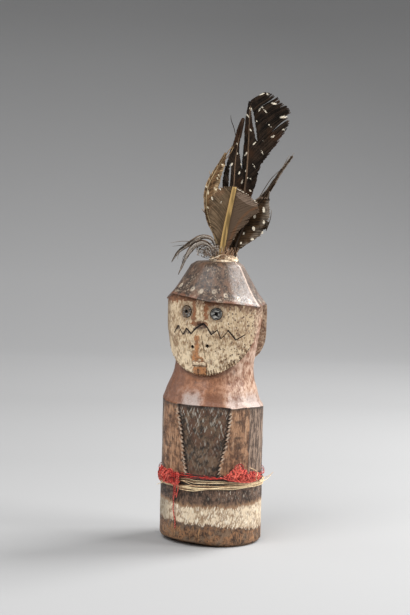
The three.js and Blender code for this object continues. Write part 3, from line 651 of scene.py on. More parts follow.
def step(value, low, high):
    """A smooth step from 0 below low to 1 above high."""
    share = np.clip((value - low) / (high - low), 0, 1)
    return share * share * (3 - 2 * share)


def window(value, rise, full, fade, gone):
    """1 between full and fade, 0 before rise and after gone."""
    return step(value, rise, full) * (1 - step(value, fade, gone))


def from_view(angle):
    return np.sin(np.radians(angle - VIEW_ANGLE))


def worn_height(angle):
    away = wrapped(angle - WORN["angle"], -180)
    reach = np.where(away < 0, WORN["left"], WORN["right"])
    return WORN["height"] * np.exp(-(np.abs(away / reach) ** WORN["power"]))


def ledge_height(angle):
    return reading_around(LEDGE, angle)


def shoulder_radius(angle, height):
    place = height + LEDGE_LEVEL - ledge_height(angle)
    left, right = both_readings(NECK_PROFILE, place)
    around = (left + right) / 2 + (right - left) / 2 * from_view(angle)
    fade = np.clip((FACETS_END - place) / (FACETS_END - LEDGE_LEVEL), 0, 1)
    return around * facet_share(SHOULDER_CORNERS, angle, 0.8 * np.sqrt(fade))


def on_face(angle):
    """Degrees from the middle of the nearer face, and whether that is the one behind."""
    away = wrapped(angle - FACE_ANGLE, -90)
    behind = away > 90
    return np.where(behind, away - 180, away), behind


def jaw_height(angle):
    away, _ = on_face(angle)
    share = np.minimum(1, np.abs(away) / FACE_HALF_WIDTH)
    return FACE_CHEEK - (FACE_CHEEK - FACE_CHIN) * (1 - share ** 1.8) ** (1 / 1.8)


def face_radius(angle, height):
    away, behind = on_face(angle)
    turned = away / FACE_HALF_WIDTH
    share = np.clip((FACE_WIDEST - height) / (FACE_WIDEST - FACE_CHIN), 0, 1)
    cheek = np.where(behind, 0, FACE_SHAPE["cheek"] * np.minimum(0, turned) ** 2)
    above = np.maximum(0, height - FACE_WIDEST)
    flare = np.where(behind, FACE_SHAPE["back_corner"], FACE_SHAPE["corner"]) * above * turned ** 2
    plate = (FACE_RADIUS + FACE_SHAPE["back"] * behind - FACE_SHAPE["chin"] * share ** 2
             - cheek * np.sqrt(share) + flare - FACE_SHAPE["brow"] * (above / 20) ** 2)
    return np.where(np.abs(turned) > 1.01, shoulder_radius(angle, height), plate)


def rim_height(angle):
    return reading_around(CAP_CORNERS, angle)


def cap_share(angle, flatness=0.85):
    """The facets of the cap, with corners that years of handling have rounded."""
    corners = [corner for corner, _ in CAP_CORNERS]
    return np.mean([facet_share(corners, angle + turn, flatness) for turn in (-5, -2.5, 0, 2.5, 5)], axis=0)


def trunk_round(angle, height):
    """Radius of the trunk before the panels are sunk; it is a little thinner below them."""
    return np.where(height > PANEL_BOTTOM, ARM_RADIUS, TRUNK_RADIUS) - TRUNK_LEAN * from_view(angle)


print("ledge in front", round(float(ledge_height(0)), 1), "mm up, trunk", round(float(trunk_round(0, 70)), 1))

# %% [markdown]
# ## What the knife took away
# Every cut is a rule that tells how deep the wood lies under the round at an angle and a height:
# the sunk panels between the arms with their saw-toothed borders, the zigzag across the face, the
# sockets, drilled holes and tool marks. Each rule also gives a number to the finish, so that dirt
# and paint know where the cuts are.

# %% Cuts in the trunk
def toothed(angle_table, height, direction):
    """Angle of a saw-toothed border: each tooth leans towards the panel at its lower end."""
    share = np.mod((height - TOOTH_START) / TOOTH_PITCH, 1)
    swing = np.where(height < TEETH_TOP, TOOTH_SWING * (1 - 2 * share), 0)
    return reading(angle_table, height) + direction * swing


def borders(angle, height):
    """Signed distances in mm: into the front panel, the side panels and the back panel."""
    per_degree = math.radians(1) * ARM_RADIUS
    turned = wrapped(angle, ARM_EDGES[1] - 180)
    front = np.minimum(turned - toothed(PANEL_LEFT, height, 1), toothed(PANEL_RIGHT, height, -1) - turned)
    behind = turned - 180
    back = np.minimum(behind - reading(PANEL_LEFT, height), reading(PANEL_RIGHT, height) - behind)
    folded = wrapped(angle, ARM_EDGES[1] - 180, 180)
    side = np.maximum(ARM_EDGES[0] - folded, folded - ARM_EDGES[1])
    return front * per_degree, side * per_degree, back * per_degree


def trunk_depth(angle, height):
    sunk = sum(depth * step(inside, -slope, slope)
               for (depth, slope), inside in zip(PANELS, borders(angle, height)))
    return sunk * step(height, PANEL_BOTTOM - 0.5, PANEL_BOTTOM + 0.5)


print("front panel", round(float(trunk_depth(5, 70)), 2), "mm deep")

# %% Cuts in the faces
EYES = {"left": (-18.3, 165.4), "right": (19.8, 164.7)}
BACK_EYES = [(166, 165), (202, 165)]
BACK_ZIGZAG = [[144, 152], [152, 149], [160, 154], [168, 149.5], [176, 154.5], [184, 155], [192, 149.5],
               [200, 154], [208, 149], [216, 152.5]]
INLAY_RADIUS = 4
INLAY_HOLE = 1.25
INLAY_THICKNESS = 1.6
INLAY_PROUD = 0.3
ZIGZAG = [[-39.4, 149.7], [-31.8, 154.8], [-23.1, 149], [-17.5, 153.5], [-11, 150.2], [-4.3, 154.3],
          [4.7, 157.7], [9.2, 155.2], [14.6, 150.2], [21.3, 153.6], [25.9, 147.5], [34.7, 153.2],
          [44.3, 146.7], [56.9, 149.9]]
# Half the width of each stroke of the zigzag: broad at the left, fine in the middle.
STROKES = [0.8, 0.6, 0.85, 0.9, 0.75, 0.85, 0.8, 0.8, 0.55, 0.5, 0.4, 0.85, 0.55]
ZIGZAG_DEPTH = 0.9
HOLES = [(-8.6, 141), (10.1, 142.2)]
NOSE_LINE = [[2.5, 149.5], [8, 133]]
CHEEK_LINE = [[69, 143], [60, 136.5], [50, 131.5]]
MOUTH_LINE = [[9.2, 128.5], [9.8, 121.5]]
# Strokes along the jaw's edge, and where they begin and end by angle or height.
COMB = {"pitch": 2.1, "depth": 0.6, "short": 1.3, "more": 2.6, "edge": (-78, -74, 74, 78),
        "long": (4, 10, 62, 70), "left": (-78, -76, -67, -64), "left_rise": (131, 133, 161, 164)}
JAW_TEETH = {"pitch": 3.7, "depth": 0.55, "behind": 0.7}
CHIN_GROOVE = {"across": -1.1, "half": 0.25, "soft": 0.6, "rise": (121, 121.4, 125.4, 126.2), "depth": 0.5}
# Round cuts: radius of the flat floor, radius of the edge, and depth.
SOCKET = {"floor": 4.15, "edge": 4.45, "depth": INLAY_THICKNESS - INLAY_PROUD + 0.15}
PIT = {"floor": 3.4, "edge": 4.2, "depth": 1.2}
HOLE = {"floor": 0.75, "edge": 1.2, "depth": 3}
# Half widths of the drawn lines in front and behind, their depth, and where they end below.
LINE_WIDTH = 0.55
BACK_LINE_WIDTH = 0.7
LINE_DEPTH = 0.45
LOWEST_LINE = 118
NECK_OF_NOSE = [[-3.5, 156.5], [4.5, 157.5]]
BLOCKS = {
    "upper_nose": {"proud": 1.3, "rows": [[158, -3.4, 4], [166, -4, 4.6], [174.5, -4.6, 5.2]]},
    "lower_nose": {"proud": 0.8, "rows": [[133, -5.5, 6.7], [141, -5.2, 4.8], [149.5, -4.8, 2.6]]},
    "back_nose": {"proud": 1.2, "rows": [[150, 179.5, 188.5], [162, 180, 188], [174, 179.4, 188.6]]},
}
LIP = {"proud": 1.1, "low": 128.2, "high": 130.6, "left": -8.2, "right": 8.4, "arch": 0.8}


def arc(angle):
    return math.radians(1) * FACE_RADIUS * angle


def near_point(angle, height, place):
    return np.hypot(arc(angle - place[0]), height - place[1])


def to_stroke(x, z, x0, z0, x1, z1):
    """Distance to a straight stroke, and how far along it the nearest point lies, from 0 to 1."""
    share = ((x - x0) * (x1 - x0) + (z - z0) * (z1 - z0)) / ((x1 - x0) ** 2 + (z1 - z0) ** 2)
    share = np.clip(share, 0, 1)
    return np.hypot(x - x0 - share * (x1 - x0), z - z0 - share * (z1 - z0)), share


def near_line(angle, height, path, widths=None):
    """Distance in mm to a drawn line; where widths are given, as a share of the stroke's width."""
    strokes = zip(path, path[1:], widths or [1] * len(path))
    return np.min([to_stroke(arc(angle), height, arc(start[0]), start[1], arc(end[0]), end[1])[0] / width
                   for start, end, width in strokes], axis=0)


def drilled(angle, height, places, floor, edge, depth):
    """How deep round places are cut in."""
    return depth * sum(1 - step(near_point(angle, height, place), floor, edge) for place in places)


def block_height(angle, height, proud, rows):
    left, right = both_readings(rows, height)
    inside = np.minimum(arc(angle - left), arc(right - angle))
    ends = np.minimum(height - rows[0][0], rows[-1][0] - height)
    return proud * step(inside, -0.5, 0.5) * step(ends, -0.4, 0.4)


def inside_lip(angle, height):
    """Signed distance in mm into a double arch: two low bows side by side over the mouth."""
    bow = LIP["arch"] * (np.abs(np.sin(np.radians(angle * 180 / LIP["right"]))) - 0.6)
    inside = np.minimum(height - LIP["low"] - bow * 0.4, LIP["high"] + bow - height)
    return np.minimum(inside, np.minimum(arc(angle - LIP["left"]), arc(LIP["right"] - angle)))


def lip_height(angle, height):
    return LIP["proud"] * step(inside_lip(angle, height), -0.4, 0.5)


def along_jaw(angle, height):
    """How far in from the jaw's edge a place lies, and how far along that edge, in mm."""
    stops = np.linspace(-79, 79, 96)
    x, z = arc(stops), jaw_height(stops)
    length = np.concatenate([[0], np.cumsum(np.hypot(np.diff(x), np.diff(z)))])
    nearest, place = np.full(np.shape(angle), np.inf), np.zeros(np.shape(angle))
    for edge_x, edge_z, so_far in zip(x, z, length):
        away = np.hypot(arc(angle) - edge_x, height - edge_z)
        closer = away < nearest
        nearest, place = np.where(closer, away, nearest), np.where(closer, so_far, place)
    return np.where(height > jaw_height(angle), nearest, -nearest), place


def comb_depth(angle, height):
    """Short strokes cut in from the edge of the face, longest under the right cheek."""
    inside, place = along_jaw(angle, height)
    turn = 2 * math.pi / COMB["pitch"]
    reach = COMB["short"] + COMB["more"] * window(angle, *COMB["long"])
    edge = step(np.cos(place * turn), 0.1, 0.8) * window(inside, -0.6, 0.1, reach - 0.7, reach)
    left = step(np.cos(height * turn), 0.1, 0.8) * window(height, *COMB["left_rise"])
    edge, left = edge * window(angle, *COMB["edge"]), left * window(angle, *COMB["left"])
    return COMB["depth"] * np.maximum(edge, left)


def chin_groove(angle, height):
    away = np.abs(arc(angle) - CHIN_GROOVE["across"])
    inside = 1 - step(away, CHIN_GROOVE["half"], CHIN_GROOVE["soft"])
    return CHIN_GROOVE["depth"] * inside * window(height, *CHIN_GROOVE["rise"])


def face_cuts(angle, height):
    """How far the surface is cut in, and a second number that is only the drawn grooves."""
    turned, back = wrapped(angle, -90), wrapped(angle, 0)
    behind = np.maximum(0, 1 - near_line(back, height, BACK_ZIGZAG) / BACK_LINE_WIDTH)
    zigzag = np.maximum(behind, 1 - near_line(turned, height, ZIGZAG, STROKES))
    lines = sum(np.maximum(0, 1 - near_line(turned, height, path) / LINE_WIDTH)
                for path in (NOSE_LINE, CHEEK_LINE, NECK_OF_NOSE, MOUTH_LINE))
    drawn = (ZIGZAG_DEPTH * zigzag + LINE_DEPTH * lines + drilled(turned, height, HOLES, **HOLE)
             + chin_groove(turned, height))
    sunk = drilled(turned, height, EYES.values(), **SOCKET) + drilled(back, height, BACK_EYES, **PIT)
    raised = sum(block_height(back if name == "back_nose" else turned, height, **facts)
                 for name, facts in BLOCKS.items())
    return drawn + comb_depth(turned, height) + sunk - raised - lip_height(turned, height), drawn


print("drilled hole", round(float(face_cuts(*HOLES[0])[1]), 2), "mm deep")

# %% The sheet: zones of rows, and where each point goes
ZONES = {"foot": 6, "trunk": 78, "ledge": 4, "neck": 26, "jaw": 4, "face": 46, "rim": 4, "cap": 26,
         "crown": 10}
SHEET_COLUMNS = 180
SEAM_ANGLE = -98
ZONE_STARTS = dict(zip(ZONES, np.cumsum([0, *ZONES.values()])))
SHEET_ROWS = sum(ZONES.values())
ADZE_MARK = 0.13
KNIFE_MARK = 0.05


def zone_share(row, zone):
    """How far up a zone a row lies, from 0 to 1, and which rows belong to it."""
    share = (row - ZONE_STARTS[zone]) / ZONES[zone]
    return np.clip(share, 0, 1), (share >= 0) & (share <= 1)


def tooth_edge(angle):
    """The lower edge of a face is nicked like a saw."""
    away, behind = on_face(angle)
    wave = np.abs(np.mod(away / JAW_TEETH["pitch"], 1) - 0.5) * 4 - 1
    wave = np.where(np.abs(away) < FACE_HALF_WIDTH - 2, JAW_TEETH["depth"] * wave, 0)
    return wave * np.where(behind, JAW_TEETH["behind"], 1)


def sheet_height(angle, row):
    """Height of a point of the sheet before the crown closes over."""
    worn, ledge, jaw, rim = worn_height(angle), ledge_height(angle), jaw_height(angle), rim_height(angle)
    jaw = jaw + tooth_edge(angle)
    marks = [0, worn + FOOT_ROUNDING, ledge - 0.2, ledge + 0.5, jaw - 0.25, jaw + 0.75, rim - 0.2,
             rim + 1.2, CAP_TOP["height"], FIGURE_HEIGHT]
    height = np.zeros(np.shape(angle))
    for zone, low, high in zip(ZONES, marks, marks[1:]):
        share, here = zone_share(row, zone)
        height = np.where(here, low + (high - low) * share, height)
    return height


def sheet_radius(angle, row, height):
    """Each zone has its rule for the radius, by the share of the zone that lies below a point."""
    trunk = trunk_round(angle, height) - trunk_depth(angle, height)
    shoulder = shoulder_radius(angle, height)
    plate = face_radius(angle, height) - face_cuts(angle, height)[0]
    rim = CAP_RIM_RADIUS * cap_share(angle)
    worn = 1.3 * (worn_height(angle) - 1)
    cap_growth = CAP_FOOT_RADIUS - CAP_TOP["radius"]
    rules = {
        "foot": lambda share: trunk - (reading(FOOT_INSET, share) + (1 - step(share, 0, 0.5)) * worn),
        "ledge": lambda share: trunk + (shoulder - trunk) * step(share, 0, 0.7),
        "neck": lambda share: shoulder,
        "jaw": lambda share: shoulder + (plate - shoulder) * np.sin(share * math.pi / 2) ** 0.7,
        "face": lambda share: plate,
        "rim": lambda share: np.where(share < 0.5, plate + (rim - plate) * step(share, 0, 0.45),
                                      rim - 0.5 * step(share, 0.5, 1)),
        "cap": lambda share: (CAP_TOP["radius"] + cap_growth * reading(CAP_SLOPE, share)) * cap_share(angle),
    }
    radius = trunk
    for zone, rule in rules.items():
        share, here = zone_share(row, zone)
        radius = np.where(here, rule(share), radius)
    return radius


def tool_marks(angle, height):
    """Low waves left by the adze, in mm, and a finer unevenness."""
    x, z = np.radians(angle), height
    waves = (np.sin(7 * x + 0.11 * z) + np.sin(13 * x - 0.19 * z + 2) + np.sin(0.33 * z + 5 * x)) / 3
    fine = np.sin(41 * x + 1.3 * z) * np.sin(29 * x - 0.9 * z + 1)
    return ADZE_MARK * waves + KNIFE_MARK * fine


def sheet_places(angle, row):
    """Points in metres. In the crown zone the rings close in towards the hollow and go down it."""
    height = sheet_height(angle, row)
    places = on_axis(angle, sheet_radius(angle, row, height) + tool_marks(angle, height), height)
    share, here = zone_share(row, "crown")
    outer, crown = (on_axis(angle, ring["radius"] * cap_share(angle), ring["height"])
                    for ring in (CAP_TOP, CAP_CROWN))
    edge, hollow_floor = (HOLLOW_PLACE + on_axis(angle, HOLLOW["radius"], HOLLOW[level])
                          for level in ("edge", "floor"))
    stops = [(0, outer), (0.2, crown), (0.6, edge), (1, hollow_floor)]
    for (start, low), (end, high) in zip(stops, stops[1:]):
        mix = np.clip((share - start) / (end - start), 0, 1)[..., None]
        part = (here & (share >= start) & (share <= end))[..., None]
        places = np.where(part, low + (high - low) * mix, places)
    return places


print("sheet of", SHEET_COLUMNS, "columns and", SHEET_ROWS, "rows")

# %% Cut the sheet finer where the knife was busy
def flat_sheet():
    deselect()
    bpy.ops.mesh.primitive_grid_add(x_subdivisions=SHEET_COLUMNS, y_subdivisions=SHEET_ROWS, size=1)
    sheet = bpy.context.object
    sheet.name = "carved_figure_wood"
    return sheet


def sheet_reading(points):
    """Angle and row of points of the flat sheet."""
    return SEAM_ANGLE + 360 * (points[:, 0] + 0.5), SHEET_ROWS * (points[:, 1] + 0.5)


def refine(sheet, wanted):
    """Cuts each face in four for which wanted(angle, height, row) holds."""
    angle, row = sheet_reading(points_of(sheet.data.polygons, "center"))
    cut_finer(sheet, "FACE", wanted(angle, sheet_height(angle, row), row), 1)
    print("sheet of", len(sheet.data.polygons), "faces")


def within(value, low, high):
    return (value > low) & (value < high)


def busy(angle, height, row):
    """Both faces, the borders of the panels, and the ledge."""
    turned, back = wrapped(angle, -90), wrapped(angle, 0)
    front, side, _ = borders(angle, height)
    border = np.minimum(np.abs(front), np.abs(side)) < 3
    return np.any([within(turned, -78, 84) & within(height, 119, 178),
                   within(back, 140, 224) & within(height, 146, 171),
                   within(turned, -60, 75) & within(height, 50, 101) & border,
                   within(turned, -80, 100) & within(row - ZONE_STARTS["ledge"], -3, 7)], axis=0)


def busiest(angle, height, row):
    """The teeth of the panel, and every line, hole, socket and edge of the front face."""
    turned, back = wrapped(angle, -90), wrapped(angle, 0)
    front, _, _ = borders(angle, height)
    inside, _ = along_jaw(turned, height)
    return np.any([within(front, -1.3, 1.3) & within(turned, -60, 75) & within(height, 50, TEETH_TOP),
                   near_line(turned, height, ZIGZAG) < 1.5,
                   near_line(back, height, BACK_ZIGZAG) < 1.5,
                   *(near_line(turned, height, path) < 1.1 for path in (NOSE_LINE, NECK_OF_NOSE, MOUTH_LINE)),
                   *(near_point(turned, height, place) < 2.2 for place in HOLES),
                   *(within(near_point(turned, height, place), 3, 5.3) for place in EYES.values()),
                   within(turned, -10, 10) & within(height, 120, 133),
                   within(turned, -79, 79) & within(inside, -1.2, 4.2) & (height > 119),
                   within(turned, -79, -62) & within(height, 130, 165),
                   within(np.abs(turned), 2, 8) & within(height, 132, 175)], axis=0)


figure = flat_sheet()
refine(figure, busy)
refine(figure, busiest)

# %% Wrap the sheet round and close it
def wrap(sheet):
    angle, row = sheet_reading(points_of(sheet.data.vertices))
    row = np.round(row, 5)
    sheet.data.vertices.foreach_set("co", sheet_places(angle, row).ravel())
    keep_carving_numbers(sheet, angle, row)


def close_up(piece):
    """Welds the seam of a rolled-up grid and closes its ends."""
    bpy.context.view_layer.objects.active = piece
    bpy.ops.object.mode_set(mode="EDIT")
    bpy.ops.mesh.select_all(action="SELECT")
    bpy.ops.mesh.remove_doubles(threshold=0.000005)
    bpy.ops.mesh.select_mode(type="EDGE")
    bpy.ops.mesh.select_all(action="DESELECT")
    bpy.ops.mesh.select_non_manifold()
    bpy.ops.mesh.fill_holes(sides=0)
    bpy.ops.mesh.select_all(action="SELECT")
    bpy.ops.mesh.normals_make_consistent(inside=False)
    bpy.ops.object.mode_set(mode="OBJECT")
    bpy.ops.object.shade_smooth_by_angle(angle=math.radians(38))


print("the seam lies at", SEAM_ANGLE, "degrees, on the left side")

# %% [markdown]
# ## How the wood is finished
# Years of handling, smoke and paint lie over each other. The cap is smoke-dark and polished, with a
# row of small drilled rings. The faces are whitened with kaolin, rubbed off in places, with ochre
# beside the nose and on the mouth. Neck and shoulders are red-brown and worn pale on the facets.
# The trunk has brown arms, dark grey panels and two painted rings. Light and shade are painted in
# too: highlights on the cap's right facets and corners, sheen on the shoulder facets, and shade
# under the cap's rim, the chin, the ledge and the bindings, in the eyes and on sides turned away.
# Each zone of the sheet has its own recipe, and the numbers kept from the carving tell it where the
# cuts and the paint are.

# %% Where paint and wear lie, as distances in mm
# Drilled rings on the cap, as angle and height, and the radius of the cap there.
CAP_RINGS = [(-13.7, 181.4), (-1, 180), (16, 180), (31.5, 177.6), (48.7, 175.3), (66, 172.9),
             (-38, 183), (90, 172.6), (118, 174), (150, 176), (180, 178), (210, 177.5), (240, 175.5)]
RING_RADIUS = 33
# Ochre on the front face: left angle, right angle, low and high.
OCHRE = [(-10.5, -5, 157, 176), (5.2, 9.5, 160, 176), (-5.4, 0.1, 131, 149.5), (-9, -3, 131, 136.5),
         (-8.5, 9, 120.6, 127.3), (2.6, 5.6, 131, 134.5), (-8, 9, 155.5, 159),
         (-64, -34, 171.5, 178), (9, 22, 170.5, 174), (-34, -12, 172.8, 177)]
# Upper and lower edge of the white ring on the foot.
KAOLIN_TOP = [[-100, 30.5], [-40, 30], [0, 28.3], [40, 28.3], [90, 30], [170, 29], [262, 30.5]]
KAOLIN_FOOT = [[-100, 18], [-55, 17.4], [17, 16.3], [34, 15], [53, 13.7], [79, 11], [140, 13],
               [262, 18]]
# How pale each shoulder facet is, by its middle angle: partly wear, partly painted sheen where a facet faces
# the lamps.
FACET_WEAR_AND_SHEEN = [[-98, 0.2], [-27, 0.05], [-14, 0.75], [-2, 0.8], [9, 0.0], [30, 0.05], [39, 0.6],
              [55, 0.65], [61, 0.35], [66, 0.85], [84, 0.9], [92, 0.5], [150, 0.3], [262, 0.2]]
# How bright each facet of the cap is, by angle: partly rubbed wear, partly a painted highlight on the facets
# at the right that face the lamps.
CAP_WEAR_AND_HIGHLIGHT = [[-98, 0.15], [-44, 0.1], [-16, 0.0], [38, 0.0], [43, 0.25], [54, 0.4], [62, 0.85],
            [75, 1], [79, 0.2], [98, 0.3], [106, 0.6], [150, 0.2], [262, 0.15]]
# A crack that runs down the foot on the right.
CRACK = [(41.1 + 7.7 * t, 14.6 - 11.8 * t) for t in np.linspace(0, 1, 24)]
BRIDGE_OF_NOSE = (1.5, 156.4)
# Dark blots on the front face, where dirt has filled the notches of the zigzag.
BLOTS = [(-17.4, 151.4), (-14.5, 150.6), (-19.8, 150.2), (-1.5, 155.8), (1.6, 156.9), (-3.6, 154.6),
         (-32, 153.2), (-30, 154.4), (13.6, 151.5), (16.5, 152.2), (4.5, 156.8), (7.2, 155.6),
         (-6.4, 153.8), (3, 155.2)]


def nearest_place(angle, height, places, radius):
    per_degree = math.radians(1) * radius
    away = [np.hypot(wrapped(angle - a, -180) * per_degree, height - z) for a, z in places]
    return np.min(away, axis=0)


def inside_boxes(angle, height, boxes):
    """Signed distance in mm, positive inside the nearest of some boxes on the face."""
    inside = [np.min([arc(angle - left), arc(right - angle), height - low, high - height], axis=0)
              for left, right, low, high in boxes]
    return np.max(inside, axis=0)


def keep_carving_numbers(sheet, angle, row):
    height = sheet_height(angle, row)
    turned, back, seamed = (wrapped(angle, start) for start in (-90, 0, SEAM_ANGLE))
    front, side, behind = borders(angle, height)
    over_ledge = height - ledge_height(angle)
    near_edges = {
        "front_panel": front,
        "side_panel": side,
        "back_panel": behind,
        "above_jaw": height - jaw_height(angle),
        "in_from_jaw": along_jaw(turned, height)[0],
        "ochre": inside_boxes(turned, height, OCHRE),
        "lip": inside_lip(turned, height),
    }
    numbers = {
        **{name: np.clip(distance, -9, 9) for name, distance in near_edges.items()},
        "drawn": np.where(height > LOWEST_LINE, face_cuts(angle, height)[1], 0),
        "bridge": 1 - step(near_point(turned, height, BRIDGE_OF_NOSE), 1.5, 5.5),
        "crack": nearest_place(angle, height, CRACK, TRUNK_RADIUS),
        "under_rim": np.clip(rim_height(angle) - height, -9, 40),
        "over_ledge": np.clip(over_ledge, -60, 30),
        "ring": nearest_place(angle, height, CAP_RINGS, RING_RADIUS),
        "eye": np.min([near_point(turned, height, eye) for eye in EYES.values()]
                      + [near_point(back, height, eye) for eye in BACK_EYES], axis=0),
        "kaolin": np.minimum(reading(KAOLIN_TOP, angle) - height, height - reading(KAOLIN_FOOT, angle)),
        "facet_wear_and_sheen": reading(FACET_WEAR_AND_SHEEN, seamed) * (1 - step(over_ledge, 2, 15)),
        "cap_wear_and_highlight": reading(CAP_WEAR_AND_HIGHLIGHT, seamed),
        "comb": comb_depth(turned, height),
        "blot": nearest_place(angle, height, BLOTS, FACE_RADIUS),
        "cap_corner": np.min([np.abs(wrapped(angle - corner, -180)) for corner, _ in CAP_CORNERS], axis=0),
        "right": from_view(angle),
    }
    for name, values in numbers.items():
        keep_number(sheet, name, values)


print(len(OCHRE), "patches of ochre,", len(BLOTS), "blots,", len(CAP_RINGS), "rings on the cap")

# %% A recipe on the skin of the wood
class WoodFinish(Finish):
    """A finish that also knows how far round, up and out it is on the carving, in mm."""

    def __init__(self, name, **settings):
        super().__init__(name, **settings)
        round_share = self.axis(self.add("ShaderNodeUVMap").outputs[0], 0)
        level = self.add("ShaderNodeVectorMath", {0: self.stretched(1, 1, 0)}, operation="LENGTH")
        self.around = self.product(round_share, 2 * math.pi * ARM_RADIUS)
        self.height = self.product(self.axis(self.place, 2), 1 / MM)
        radius = self.product(level.outputs["Value"], 1 / MM)
        skin = {0: self.around, 1: self.height, 2: radius}
        self.place = self.add("ShaderNodeCombineXYZ", skin).outputs[0]

    def streaks(self, turn, across, along, detail=4.0):
        """Streaks that lean by an angle from upright; sizes are counts for each mm."""
        inputs = {"Vector": self.place, "Angle": math.radians(turn)}
        turned = self.add("ShaderNodeVectorRotate", inputs, rotation_type="Z_AXIS").outputs[0]
        return self.noise(1.0, detail, self.stretched(across, along, 1, turned))

    def spread(self, name, low, high, fray):
        """A kept number as a mask with a frayed edge."""
        return self.between(self.sum(name, self.drift(self.noise(0.6, 4), fray * 2)), low, high)

    def mottled(self, fine=0.3, middle=0.45, broad=0.25, turn=0.0):
        """Blotches of three sizes in one number about 0.5, the finest drawn out along the grain."""
        return self.weighted((self.streaks(turn, 1.0, 0.4, 6.0), fine), (self.noise(0.26, 6), middle),
                             (self.noise(0.09, 3), broad))


print("more steps on the wood:", [step for step in vars(WoodFinish) if not step.startswith("_")])

# %% Cap and faces
def cap_finish():
    """Smoke-dark wood, rubbed bright on the right with a painted highlight there too and along the corner
    edges, and a row of pale drilled dots with painted shade in their holes.
    """
    f = WoodFinish("cap_wood", roughness=0.45, Coat_Weight=0.15, Coat_Roughness=0.25)
    fine, broad, mottle = f.noise(0.85, 6), f.noise(0.14, 3), f.mottled()
    clouded = f.weighted((fine, 0.35), (f.noise(0.33, 6), 0.45), (broad, 0.2))
    dusty = f.between(f.weighted((fine, 0.5), (f.noise(0.22, 5), 0.5)), 0.54, 0.64)
    tone = f.layers(
        (0.03, 0.017, 0.011),
        [(0.15, 0.091, 0.058), (clouded, 0.41, 0.59)],
        [(0.15, 0.072, 0.04), (broad, 0.5, 0.66), 0.6],
        [(0.42, 0.34, 0.25), dusty, 0.7],
        # Pale right facets: partly rubbed wear, partly a painted highlight.
        [(0.22, 0.176, 0.15), "cap_wear_and_highlight", (mottle, 0.42, 0.54)],
        [(0.2, 0.08, 0.04), ("under_rim", -3.0, -0.6), (broad, 0.38, 0.55), 0.85],
        # A painted highlight along the corner edges of the cap on the right.
        [(0.58, 0.44, 0.36), ("cap_corner", 3.0, 1.2), ("right", 0.55, 0.8),
         (f.around, 124.0, 116.0, 0.2, 1.0), (f.noise(0.5, 3), 0.34, 0.5), 0.8],
        [(0.56, 0.47, 0.36), (f.sum("ring", fine), 2.7, 1.5), (broad, 0.36, 0.56, 0.45, 0.9)],
        # The dark centre of each dot is painted shade in its small hole.
        [(0.06, 0.04, 0.03), ("ring", 0.8, 0.35)])
    return f.surface(tone, f.between(fine, 0.35, 0.65, 0.38, 0.64), f.sum(fine, mottle), 0.0003)


